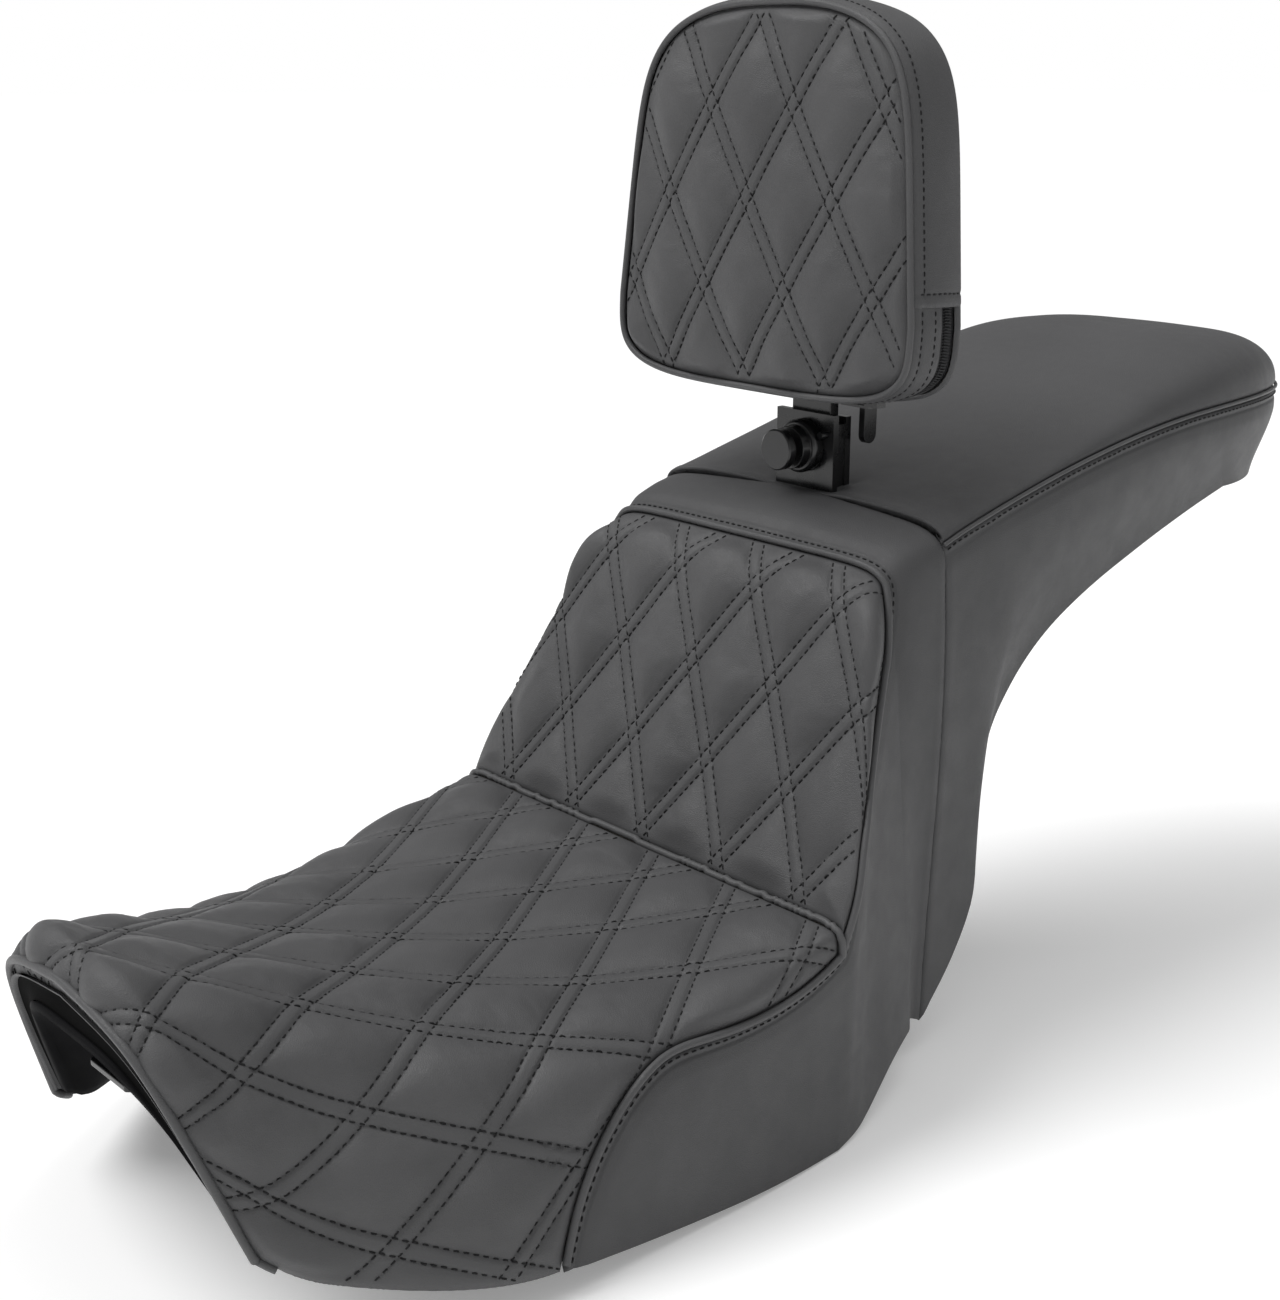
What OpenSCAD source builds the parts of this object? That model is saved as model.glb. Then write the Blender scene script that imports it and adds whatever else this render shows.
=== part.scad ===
// Two-up motorcycle seat with a step and a height and tilt adjustable rider backrest.
// Millimetres. +Z is up, the nose points to -Y and the rider's left is +X.
// The origin is the centre of the rear tab's screw hole. Every module is written in seat
// coordinates, with y = 0 near the foot of the lumbar step, and place() moves it there.

/* [Rider seat] */
// Front edge of the nose
nose_y = -345; // [-360:1:-335]
// Length from the nose to the foot of the lumbar step
rider_len = 339; // [330:1:350]
// Half width of the rider seat at its widest
rider_half_w = 158; // [150:1:162]
// Height of the lowest point of the rider's dish
dish_z = -18; // [-22:1:-14]
/* [Step and pillion] */
// Half width of the lumbar step at its top
step_half_w = 110; // [106:1:114]
// Half width of the pillion pad at its welt
pillion_half_w = 109; // [106:1:112]
// Where the pillion outline starts to curve into its tail
tail_y = 350; // [345:1:360]
// Length of the curved tail
tail_len = 178; // [172:1:180]
/* [Backrest pad] */
// Half width of the backrest pad
pad_half_w = 111; // [104:1:116]
// Height of the pad above its widest line
pad_up = 159; // [152:1:164]
// Height of the pad below its widest line
pad_down = 44; // [42:1:45]
// Depth of the pad from face to back
pad_depth = 40; // [39:0.5:42]
// How far the pad leans back, in degrees
pad_lean = 2.6; // [1.5:0.1:3]
/* [Layers] */
// Thickness of the cover material
cover_t = 2.5; // [2:0.1:3]
// Thickness of the moulded base pan
pan_t = 3.5; // [3:0.1:4]
// Gap sewn between neighbouring cover panels
seam_gap = 1; // [0.6:0.1:1.4]
// Radius of the piping cord
piping_r = 2; // [1.5:0.1:2.2]
/* [Backrest bracket] */
// Distance between the height holes in the post
hole_pitch = 12.5; // [12:0.5:13]
// Number of height holes
hole_count = 5; // [3:1:5]
// Height of the spring plunger's axis
plunger_z = 198; // [196:1:199]
// Diameter of the tilt bolt
tilt_bolt_d = 8; // [8:0.5:8]
/* [Mounting] */
// Diameter of the hole in the rear tab
tab_hole_d = 6.8; // [6.4:0.1:8.5]
// Thickness of the steel mounting strips
strip_t = 3; // [2.5:0.5:3]

/* [Hidden] */
$fn = 48;
eps = 0.01;

tab_y = 540;                        // rear screw hole, seat coordinates
tab_z = 150;
seam_y = 112;                       // upright seam between the step and the pillion
foam_gap = 1.5;                     // from the cover's inside to the foam
pan_gap = 1.2;                      // from the pan to the foam
rider_end = nose_y + rider_len;

leather = "#3c3c3e";
smooth_leather = "#363638";
foam_grey = "#6d6a62";
pan_black = "#1b1b1d";
steel_black = "#151516";
zinc = "#a9adb3";

module place() {
    translate([0, -tab_y, -tab_z]) children();
}

// ---------- small functions ----------
function clamp(q, a = 0, b = 1) = max(a, min(b, q));
function smooth(q) = let (k = clamp(q)) k * k * (3 - 2 * k);
function unit(v) = norm(v) < 1e-9 ? [0, 0, 1] : v / norm(v);
function mirror_x(p, side) = [side * p.x, p.y, p.z];

// Catmull-Rom curve through the points p, at u from 0 to 1
function knot(p, k) = let (n = len(p) - 1)
    k < 0 ? 2 * p[0] - p[1] : k > n ? 2 * p[n] - p[n - 1] : p[k];
function spline(p, u) =
    let (n = len(p) - 1, w = clamp(u) * n, k = min(floor(w), n - 1), t = w - k,
         a = knot(p, k - 1), b = knot(p, k), c = knot(p, k + 1), d = knot(p, k + 2))
    0.5 * (2 * b + (c - a) * t + (2 * a - 5 * b + 4 * c - d) * t * t + (3 * b - a - 3 * c + d) * t * t * t);

// A rounded section from the centre line over a corner down to a foot, t from -1 to 1
function section(centre, corner, foot, n, t) =
    let (a = abs(t), p = centre + (corner - centre) * (1 - pow(1 - a, n)) + (foot - corner) * pow(a, n))
    mirror_x(p, t < 0 ? -1 : 1);

// ---------- the seat's outer surface ----------
function crown_z(y) = y < -123 ? dish_z + 49 * pow((-123 - y) / 209, 1.8)
                               : dish_z + 10 * pow((y + 123) / 118, 1.6);
function nose_round(y) = let (q = clamp((nose_y + 14 - y) / 14)) 20 * (1 - sqrt(1 - q * q));
// Height of the rider seat's foot, with its lower front corner rounded
nose_foot_y = -312;
nose_foot_run = 26;
function foot_z(y) = -98 - 34 * pow(sin(90 * clamp((y - nose_foot_y) / 330)), 0.8);
function foot_corner(y) = 10 * pow(clamp((nose_foot_y + nose_foot_run - y) / nose_foot_run), 2);

function rider(y, t) =
    let (r = y - nose_y,
         top_z = crown_z(max(y, nose_y + 12)) - nose_round(y),
         lean = 0.3 * (1 - smooth(r / 85)),
         foot_y = y + lean * (top_z - foot_z(y)),
         taper = pow(clamp((y + 90) / 84), 2),
         corner_x = 68 + 87 * smooth((y + 330) / 205) - 2 * taper,
         shoulder = 4 * smooth((y + 300) / 100) * (1 - smooth((y + 120) / 100)) + 7 * (1 - smooth(r / 60)),
         foot_x = rider_half_w - 4 * taper - 64 * (1 - sin(90 * clamp((foot_y - nose_foot_y) / 120))),
         foot = [foot_x, foot_y, foot_z(foot_y) + foot_corner(foot_y)],
         n = 3 + 3 * pow(clamp((y + 200) / 195), 2))
    section([0, y, top_z], [corner_x, y, top_z - shoulder], foot, n, t);

// Foot of the step, from the rider seat back to the upright seam
STEP_FOOT = [[154, -5, -132], [150.5, 12, -129], [146, 26, -124], [136, 56, -108], [124, 84, -104],
    [110, 108, -113]];
LUMBAR_RISE = [[0, -6, -8], [0, 16, 44], [0, 34, 91], [0, 52, 137], [0, 72, 154]];
STEP_RISE = [[0, 72, 154], [0, 84, 163.5], [0, 100, 170.5], [0, 116, 174.5]];

function lumbar(h, t) =
    let (c = spline(LUMBAR_RISE, h), ease = smooth(h / 0.2), swell = 3.5 * sin(180 * h),
         w = rider_half_w - 5 * (1 - ease) - (rider_half_w - step_half_w) * ease * pow(sin(90 * h), 1.15))
    section(c, c + [w + swell, swell, 0], spline(STEP_FOOT, 0.75 * h), 6 - 1.5 * h, t);
// How far the pillion's flank swells outwards, at u from its welt to its foot
function flank_bulge(u) = 34 * u * pow(1 - u, 2);
// The step's top and flank, brought to the pillion's flank at its far end
function step(g, t) =
    let (c = spline(STEP_RISE, g),
         foot = spline(STEP_FOOT, 0.75 + 0.25 * g),
         p = section(c, c + [step_half_w + 5 * g, 0, -7 * g], foot, 4.5, abs(t)),
         u = clamp((161 - p.z) / 275), k = smooth(g) * smooth((166 - p.z) / 30),
         flank = [pillion_half_w + u + flank_bulge(u), seam_y - 4 * u, p.z])
    mirror_x(p * (1 - k) + flank * k, t < 0 ? -1 : 1);

// s runs 0..1 over the rider seat, 1..2 up the lumbar and 2..3 over the step
function body(s, t) = s <= 1 ? rider(nose_y + rider_len * s, t) : s <= 2 ? lumbar(s - 1, t) : step(s - 2, t);

// Pillion: v runs 0..1 along the straight flank and 1..2 round the tail to the centre line
function tail_angle(v) = 90 * max(0, v - 1);
function outline(v) = v <= 1 ? [pillion_half_w, seam_y + (tail_y - seam_y) * v]
    : [pillion_half_w * cos(tail_angle(v)), tail_y + tail_len * sin(tail_angle(v))];
function welt_z(y) = 161 + 45 * pow(sin(90 * clamp((y - seam_y) / 280)), 0.9)
    - 6 * pow(clamp((y - 392) / 136), 2);
TOP_LINE = [[118, 174.5], [190, 191], [260, 213], [320, 230], [380, 242], [440, 242], [490, 230],
    [535, 205]];
PILLION_FOOT = [[110, 108, -114], [106, 139, -85], [105, 155, -55], [105, 156, -22], [105, 156, 8],
    [104, 163, 42], [103, 180, 66], [102, 205, 87], [101, 240, 106], [100, 290, 124], [99, 340, 139],
    [95, 395, 151]];
tail_foot = [95, 395, 98, 151];     // half width, start, length and height

function spine_y(v) = let (y = outline(v).y) v <= 1 ? y : tail_y + 0.7 * (y - tail_y);
function pillion_crown(v, r) =
    let (o = outline(v), q = [0, spine_y(v)] * (1 - r) + o * r, zw = welt_z(o.y),
         zt = max(lookup(q.y, TOP_LINE), zw + 2))
    [q.x, q.y, zw + (zt - zw) * pow(1 - pow(r, 5), 0.4)];
function pillion_foot(v, inset = 0) = v <= 1 ? spline(PILLION_FOOT, v) - [inset, 0, 0]
    : let (a = tail_angle(v))
      [(tail_foot[0] - inset) * cos(a), tail_foot[1] + (tail_foot[2] - inset) * sin(a), tail_foot[3]];
function pillion_flank(v, u) =
    let (w = [outline(v).x, outline(v).y, welt_z(outline(v).y)])
    w * (1 - u) + pillion_foot(v) * u + [flank_bulge(u) * cos(tail_angle(v)), 0, 0];
// Top and flank as one strip, t from -1 to 1 with the welt at +-0.5
function pillion(v, t) =
    let (a = abs(t), p = a < 0.5 ? pillion_crown(v, 2 * a) : pillion_flank(v, 2 * a - 1))
    mirror_x(p, t < 0 ? -1 : 1);

// ---------- the base pan's upper surface ----------
PAN_LINE = [[-345, -3], [-300, -24], [-200, -58], [-20, -58], [40, -30], [150, 78], [230, 122],
    [330, 156], [400, 168], [500, 168]];
pan_inset = 5.5;
pan_rise = 2;                       // of the pan's edge above the cover's
pan_sharp = 3;

function pan_section(y, half_w, foot, swing, t) =
    let (c = [0, y, lookup(y, PAN_LINE)], corner = [half_w, y + 0.8 * swing * (foot.y - y), c.z])
    section(c, corner, foot, pan_sharp, t);
function body_pan(s, t) =
    let (foot = body(s, 1) + [-pan_inset, s < 0.2 ? 2 : 0, pan_rise],
         half_w = min(0.8 * foot.x, body(s, 0.5).x - 12),
         y = s <= 1 ? body(s, 0).y : rider_end + 59 * (s - 1))
    pan_section(s < 0.01 ? y + 2.5 : y, half_w, foot, 0, t);
function pillion_pan(v, t) =
    let (foot = pillion_foot(v, pan_inset) + [0, 0, pan_rise])
    pan_section(spine_y(v), 0.8 * foot.x, foot, clamp(v - 1), t);

// ---------- grids and sheets ----------
// Unit normals of a grid; the last row of a closed grid lies on the centre plane
function normal(g, i, j, closed) =
    let (r = len(g) - 1, c = len(g[0]) - 1,
         across = g[i][min(j + 1, c)] - g[i][max(j - 1, 0)],
         along = g[min(i + 1, r)][j] - g[max(i - 1, 0)][j],
         n = unit(cross(across, along)))
    closed && i == r ? unit([0, n.y, n.z]) : n;
function shifted(g, d, closed = false) =
    [for (i = [0:len(g) - 1]) [for (j = [0:len(g[0]) - 1])
        let (p = g[i][j] + normal(g, i, j, closed) * d)
        closed && i == len(g) - 1 ? [0, p.y, p.z] : p]];

// Solid between two grids of the same size. keep(i, j) says whether a cell is there, and
// a closed grid has no wall on its last row, because its two halves meet there.
module sheet(over, under, keep = function(i, j) true, closed = false) {
    rows = len(over) - 1;
    cols = len(over[0]) - 1;
    there = function(i, j) i >= 0 && j >= 0 && i < rows && j < cols && keep(i, j);
    at = function(i, j) i * (cols + 1) + j;
    low = (rows + 1) * (cols + 1);
    wall = function(a, b) [[a, b, b + low], [a, b + low, a + low]];
    faces = [for (i = [0:rows - 1]) for (j = [0:cols - 1]) if (there(i, j))
        let (a = at(i, j), b = at(i, j + 1), c = at(i + 1, j + 1), d = at(i + 1, j))
        each concat([[a, c, b], [a, d, c], [a + low, b + low, c + low], [a + low, c + low, d + low]],
            there(i - 1, j) ? [] : wall(a, b),
            there(i + 1, j) || (closed && i == rows - 1) ? [] : wall(c, d),
            there(i, j - 1) ? [] : wall(d, a),
            there(i, j + 1) ? [] : wall(b, c))];
    polyhedron(points = concat([for (row = over) each row], [for (row = under) each row]), faces = faces);
}

// Closed tube through rings of points that run clockwise seen from its far end
module tube(rings) {
    sides = len(rings[0]);
    last = len(rings) - 1;
    skin = [for (k = [0:last - 1]) for (q = [0:sides - 1])
        let (a = k * sides + q, b = k * sides + (q + 1) % sides)
        each [[a, b, b + sides], [a, b + sides, a + sides]]];
    first_cap = [for (q = [1:sides - 2]) [0, q + 1, q]];
    last_cap = [for (q = [1:sides - 2]) [last * sides, last * sides + q, last * sides + q + 1]];
    polyhedron(points = [for (ring = rings) each ring], faces = concat(skin, first_cap, last_cap));
}

// Round cord of radius r along a path of [point, outward normal] pairs, lifted clear of the surface
module cord(path, r, lift = 0.25) {
    sides = 8;
    last = len(path) - 1;
    ring = function(k)
        let (here = path[k][0] + path[k][1] * (r + lift),
             ahead = unit(path[min(k + 1, last)][0] - path[max(k - 1, 0)][0]),
             u = unit(cross(ahead, path[k][1])), w = cross(u, ahead))
        [for (q = [0:sides - 1]) here + r * (cos(360 * q / sides) * u + sin(360 * q / sides) * w)];
    tube([for (k = [0:last]) ring(k)]);
}

function steps(a, b, n) = [for (k = [0:n]) a + (b - a) * k / n];

// ---------- where the welts run on the body ----------
// Height of the welt between the quilted rider panel and the smooth surround
function rider_welt_z(y) = -37 - 79 * pow(max(0, (-100 - y) / 88), 2.6) + 17 * pow(clamp((y + 100) / 98), 3);
// Column value t where the rider seat's section crosses the welt, found by halving
function rider_welt_t(s, lo = 0.02, hi = 1, n = 22) =
    let (t = (lo + hi) / 2, p = body(s, t))
    n == 0 ? t : p.z > rider_welt_z(p.y) ? rider_welt_t(s, t, hi, n - 1) : rider_welt_t(s, lo, t, n - 1);
// Column value of the welt round the lumbar panel, at even steps up the rise
LUMBAR_WELT = [rider_welt_t(1), 0.655, 0.615, 0.63, 0.665, 0.695, 0.71, 0.71, 0.69, 0.64, 0.47];
function welt_t(s) = s <= 1 ? rider_welt_t(s) : spline(LUMBAR_WELT, clamp(s - 1));
// Half the sewn gap beside the welt, as a column value
function welt_gap(s) = let (t = welt_t(s), d = 0.02) 1.1 * seam_gap * d / norm(body(s, t) - body(s, t - d));

// Row values, closer together at the nose, at the foot of the step and at the top corners
RIDER_ROWS = concat([0, 0.006, 0.016, 0.03, 0.05], steps(0.08, 1, 20));
LUMBAR_ROWS = concat([1, 1.05], steps(1.1, 1.7, 6), [1.78, 1.86, 1.93, 1.97, 2]);
STEP_ROWS = steps(2, 3, 4);
quilt_cols = 22;
lumbar_cols = 16;
side_cols = 5;
window_cols = 12;                   // across the opening of the surround
surround_start = 0.477;             // row where the welt meets the lower edge
rider_ds = seam_gap / 2 / rider_len; // half the sewn gap, as a row value of the rider seat
lumbar_ds = seam_gap / 2 / 180;     // and of the lumbar rise

PAN_COLS = concat([-1, -0.95], steps(-0.9, 0.9, 18), [0.95, 1]);
FOAM_COLS = concat([-0.95], steps(-0.9, 0.9, 18), [0.95]);

module base_pan() place() color(pan_black) difference() {
    rows = concat([for (s = concat([0, 0.03], steps(0.1, 3, 29))) [for (t = PAN_COLS) body_pan(s, t)]],
                  [for (v = steps(0.06, 2, 16)) [for (t = PAN_COLS) pillion_pan(v, t)]]);
    sheet(rows, shifted(rows, -pan_t, true), closed = true);
    receiver_slot(0.8);
    at_bolts() cylinder(d = bolt_hole_d, h = 60, center = true);
    for (x = tongue_rivet_x) through([x, tongue_rivet_y], rivet_hole_d);
    for (y = tab_rivet_y) through([0, y], rivet_hole_d);
    for (p = bumper_at) through(p, stem_hole_d);
}
module through(p, d) translate([p.x, p.y, 0]) cylinder(d = d, h = 400, center = true);

module foam(grid, pan, closed = false) {
    sheet(shifted(grid, -cover_t - foam_gap, closed), shifted(pan, pan_gap, closed), closed = closed);
}

module rider_foam() place() color(foam_grey) difference() {
    rows = concat([0.03], steps(0.1, 2.9, 28));
    cover = [for (s = rows) [for (t = FOAM_COLS) body(s, t)]];
    pan = [for (s = rows) [for (t = FOAM_COLS) body_pan(s, t)]];
    foam(cover, pan);
    receiver_slot(1.5);
    receiver_pocket();
    tongue_pocket();
}

module pillion_foam() place() color(foam_grey) difference() {
    rows = steps(0.06, 2, 16);
    cover = [for (v = rows) [for (t = FOAM_COLS) pillion(v, t)]];
    pan = [for (v = rows) [for (t = FOAM_COLS) pillion_pan(v, t)]];
    foam(cover, pan, closed = true);
    receiver_slot(1.5);
    receiver_pocket();
    for (y = tab_rivet_y) translate([0, y, pan_top_z]) cylinder(d = rivet_pocket_d, h = 12, center = true);
}

module rider_panel() place() color(leather) {
    rows = [for (s = RIDER_ROWS)
        let (k = min(s, 1 - rider_ds), edge = welt_t(k) - welt_gap(k))
        [for (q = steps(-1, 1, quilt_cols)) body(k, q * edge)]];
    sheet(rows, shifted(rows, -cover_t));
}

module lumbar_panel() place() color(leather) {
    rows = [for (s = LUMBAR_ROWS)
        let (k = clamp(s, 1 + lumbar_ds, 2 - 5 * lumbar_ds), edge = welt_t(k) - welt_gap(k))
        [for (q = steps(-1, 1, lumbar_cols)) body(k, q * edge)]];
    sheet(rows, shifted(rows, -cover_t));
}

// One piece: both sides of the rider seat and step, joined over the top of the step
module surround_panel() place() color(smooth_leather) {
    side_rows = steps(surround_start, 1, 14);
    rows = concat(side_rows, [for (s = LUMBAR_ROWS) if (s > 1) s],
        [for (s = STEP_ROWS) if (s > 2) min(s, 2.95)]);
    window = len(side_rows) + len(LUMBAR_ROWS) - 2;
    edge = function(s) s > 2 ? welt_t(2) : min(welt_t(s) + welt_gap(s), 0.995);
    middle = function(s) [for (q = [1:window_cols - 1]) edge(s) * (2 * q / window_cols - 1)];
    cols = function(s) concat(steps(-1, -edge(s), side_cols), middle(s), steps(edge(s), 1, side_cols));
    grid = [for (s = rows) [for (t = cols(s)) body(s, t)]];
    sheet(grid, shifted(grid, -cover_t),
        keep = function(i, j) i >= window || j < side_cols || j >= side_cols + window_cols);
}

module pillion_top() place() color(smooth_leather) difference() {
    cols = [for (q = steps(-1, 1, 22)) 0.5 * sin(90 * q) * 0.994];
    rows = [for (v = concat([0.022], steps(0.08, 2, 18))) [for (t = cols) pillion(v, t)]];
    sheet(rows, shifted(rows, -cover_t, true), closed = true);
    receiver_slot(1.2);
}

module pillion_side_panel() place() color(smooth_leather) {
    half = steps(0.008, 2, 18);
    round_rows = concat([for (v = half) [v, 1]], [for (k = [len(half) - 2:-1:0]) [half[k], -1]]);
    rows = [for (r = round_rows) [for (u = steps(0.503, 1, 6))
        let (p = pillion(r[0], r[1] * u)) r[0] == 2 ? [0, p.y, p.z] : p]];
    sheet(rows, shifted(rows, -cover_t));
}

function on_body(s, t) =
    let (e = 0.01, k = clamp(s, e, 3 - e), q = clamp(t, e - 1, 1 - e))
    [body(s, t), unit(cross(body(k, q + e) - body(k, q - e), body(k + e, q) - body(k - e, q)))];

module nose_piping() place() color(leather)
    cord([for (t = steps(-0.99, 0.99, 44)) let (p = on_body(0.008, t))
        [p[0] + [0, -2.5, 0], unit(p[1] + [0, -1, 0])]], piping_r);

module junction_piping() place() color(leather)
    cord([for (q = steps(-1, 1, 28)) on_body(1, q * (welt_t(1) - 0.12))], piping_r, 2.4);

module surround_piping() place() color(smooth_leather) {
    side = concat([for (s = steps(0.485, 0.985, 26)) s], [for (s = steps(1.03, 1.7, 14)) s],
        [1.76, 1.82, 1.87, 1.91, 1.945, 1.97, 1.99]);
    up = [for (s = side) on_body(s, welt_t(s))];
    over = [for (q = steps(0.96, 0, 7)) on_body(2, q * welt_t(2))];
    right = concat(up, over);
    left = [for (k = [len(right) - 2:-1:0]) [mirror_x(right[k][0], -1), mirror_x(right[k][1], -1)]];
    cord(concat(right, left), piping_r, 0.7);
}

module pillion_piping() place() color(smooth_leather) {
    half = [for (v = steps(0.03, 2, 30)) [pillion(v, 0.5), [cos(tail_angle(v)), sin(tail_angle(v)), 0]]];
    left = [for (k = [len(half) - 2:-1:0]) [mirror_x(half[k][0], -1), mirror_x(half[k][1], -1)]];
    cord(concat(half, left), piping_r);
}

// ---------- parts fixed under the pan ----------
pan_top_z = 168;
bumper_at = [[-45, -170], [45, -170], [-45, -60], [45, -60], [-40, 425], [40, 425]];
bumper_d = 22;
bumper_h = 9;
bumper_drop = 1.6;                  // below the middle of the pan, which falls away to its sides
stem_d = 6;
stem_hole_d = 6.4;
rivet_d = 5;
rivet_hole_d = 5.2;
rivet_head_d = 9;
rivet_pocket_d = 11;
bolt_d = 6;
bolt_hole_d = 6.6;
function bumper_z(p) = lookup(p.y, PAN_LINE) - pan_t;

module rubber_bumpers() place() color(pan_black) for (p = bumper_at) translate([p.x, p.y, bumper_z(p)]) {
    translate([0, 0, -bumper_h - bumper_drop]) cylinder(d1 = bumper_d - 4, d2 = bumper_d, h = bumper_h);
    translate([0, 0, -2]) cylinder(d = stem_d, h = 2 + pan_t);
}

tongue_w = 50;
tongue_rivet_x = [-15, 15];
tongue_rivet_y = -262;
tongue_seat_z = -53.2 - pan_t;      // flat riveted end, just under the sloping pan
tongue_y = [-326, -300, -246];
tongue_tip_z = -37;

// Flat tongue that hooks under the frame's cross bar
module front_tongue() place() color(steel_black) difference() {
    rotate([90, 0, 90]) linear_extrude(tongue_w, center = true) polygon([
        [tongue_y[0], tongue_tip_z], [tongue_y[1], tongue_tip_z], [tongue_y[1] + 18, tongue_seat_z],
        [tongue_y[2], tongue_seat_z], [tongue_y[2], tongue_seat_z + strip_t],
        [tongue_y[1] + 16, tongue_seat_z + strip_t], [tongue_y[1] - 1, tongue_tip_z + strip_t],
        [tongue_y[0], tongue_tip_z + strip_t]]);
    for (x = tongue_rivet_x) through([x, tongue_rivet_y], rivet_hole_d);
    for (side = [-1, 1]) translate([side * tongue_w / 2, tongue_y[0], tongue_tip_z]) rotate([0, 0, 45])
        cube([12, 12, 20], center = true);
}

module tongue_pocket() for (x = tongue_rivet_x) translate([x, tongue_rivet_y, -30])
    cylinder(d = rivet_pocket_d, h = 34, center = true);

module tongue_rivets() place() color(zinc) for (x = tongue_rivet_x)
    translate([x, tongue_rivet_y, tongue_seat_z]) {
        translate([0, 0, -2.4]) cylinder(d = rivet_head_d, h = 2.3);
        translate([0, 0, -1]) cylinder(d = rivet_d, h = 21);
    }

tab_w = 30;
tab_rivet_y = [425, 452];

// Sprung strip behind the tail with the hole for the seat screw
module rear_tab() place() color(steel_black) difference() {
    z_hi = pan_top_z - pan_t - 0.3;
    z_lo = tab_z - strip_t / 2;
    union() {
        rotate([90, 0, 90]) linear_extrude(tab_w, center = true) polygon([
            [410, z_hi], [410, z_hi - strip_t], [463, z_hi - strip_t], [482, z_lo - 4],
            [tab_y - 12, z_lo - 4], [tab_y - 8, z_lo], [tab_y, z_lo],
            [tab_y, z_lo + strip_t], [tab_y - 9, z_lo + strip_t],
            [tab_y - 13, z_lo - 4 + strip_t], [483, z_lo - 4 + strip_t], [464, z_hi]]);
        translate([0, tab_y, z_lo]) cylinder(d = tab_w * 0.8, h = strip_t);
    }
    translate([0, tab_y, z_lo - 1]) cylinder(d = tab_hole_d, h = strip_t + 2);
    for (y = tab_rivet_y) translate([0, y, z_hi - 10]) cylinder(d = rivet_hole_d, h = 20);
}

module tab_rivets() place() color(zinc) for (y = tab_rivet_y) translate([0, y, pan_top_z - pan_t - strip_t]) {
    translate([0, 0, -2.8]) cylinder(d = rivet_head_d, h = 2.4);
    translate([0, 0, -1]) cylinder(d = rivet_d, h = strip_t + pan_t + 2.6);
}

// ---------- backrest receiver and post ----------
front_plate_y = 118.5;
plate_t = 4;
bar_y = 123;
bar_t = 7;
bar_half_w = 14.6;
rear_plate_y = 130.5;
receiver_top = 217;
front_half_w = 22;
rear_half_w = 20;
flange_tilt = 44.5;                 // slope of the pan where the flange sits
flange_at = [0, 127, 61.4];         // middle of the flange's upper face
flange_size = [78, 62, 4];
bolt_grid = [27, 20];               // half spacing of the flange bolts

module on_flange() translate(flange_at) rotate([flange_tilt, 0, 0]) children();
module at_bolts() on_flange() for (x = [-1, 1], y = [-1, 1])
    translate([x * bolt_grid.x, y * bolt_grid.y, 0]) children();

module receiver_slot(gap) translate([-front_half_w - gap, front_plate_y - gap, 30])
    cube([2 * (front_half_w + gap), rear_plate_y + plate_t - front_plate_y + 2 * gap, 170]);
module receiver_pocket() on_flange() translate([0, 0, -flange_size.z / 2])
    cube(flange_size + [4, 4, 16], center = true);

// Welded sleeve of two plates and two spacers on a sloping flange
module receiver() place() color(steel_black) difference() {
    union() {
        translate([-front_half_w, front_plate_y, 40]) cube([2 * front_half_w, plate_t, receiver_top - 40]);
        translate([-rear_half_w, rear_plate_y, 40]) cube([2 * rear_half_w, plate_t, receiver_top - 2 - 40]);
        for (side = [-1, 1]) translate([side * 17 - 2, front_plate_y + plate_t - eps, 40])
            cube([4, rear_plate_y - front_plate_y - plate_t + 2 * eps, receiver_top - 6 - 40]);
        on_flange() translate([-flange_size.x / 2, -flange_size.y / 2, -flange_size.z]) cube(flange_size);
    }
    on_flange() translate([-60, -60, -flange_size.z - 100]) cube([120, 120, 100]);
    translate([-15, front_plate_y + plate_t, 68]) cube([30, rear_plate_y - front_plate_y - plate_t, 200]);
    along_plunger(front_plate_y - 1) cylinder(d = barrel_nose_d + 0.2, h = plate_t + 2);
    translate([stop_pin_at.x, front_plate_y - 1, stop_pin_at.y]) rotate([-90, 0, 0])
        cylinder(d = stop_pin_d, h = plate_t + 2);
    at_bolts() cylinder(d = bolt_hole_d, h = 30, center = true);
}

module receiver_bolts() place() color(zinc) at_bolts() {
    translate([0, 0, 0.2]) cylinder(d = 10, h = 4.4);
    translate([0, 0, -16]) cylinder(d = bolt_d, h = 17);
}

module receiver_nuts() place() color(zinc) at_bolts() translate([0, 0, -15.5]) difference() {
    cylinder(d = 11.5, h = 5, $fn = 6);
    translate([0, 0, -1]) cylinder(d = bolt_d + 0.1, h = 7);
}

stop_pin_at = [17, 206];
stop_pin_d = 4;

module stop_pin() place() color(steel_black) translate([stop_pin_at.x, front_plate_y - 6, stop_pin_at.y])
    rotate([-90, 0, 0]) cylinder(d = stop_pin_d - 0.05, h = 6 + plate_t - 0.3);

// Spring plunger, shown drawn back; it travels +Y into a hole of the post
plunger_travel = 5;
barrel_nose_d = 15;
shank_d = 8;
knob_y = 95;
knob_t = 5;
barrel_y = knob_y + knob_t + plunger_travel + 0.2;
shoulder_y = 113;

module along_plunger(y) translate([0, y, plunger_z]) rotate([-90, 0, 0]) children();

module plunger_barrel() place() color(steel_black) difference() {
    union() {
        along_plunger(barrel_y) cylinder(d = 24, h = 7);
        along_plunger(barrel_y + 6) cylinder(d1 = 27, d2 = 30, h = 1.5);
        along_plunger(barrel_y + 7.5) cylinder(d = 30, h = front_plate_y - barrel_y - 7.7);
        along_plunger(front_plate_y - 1) cylinder(d = barrel_nose_d, h = plate_t + 0.8);
    }
    along_plunger(barrel_y - 1) cylinder(d = shank_d + 0.2, h = 10);
    along_plunger(barrel_y + 2) cylinder(d = 12, h = 30);
}

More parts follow.
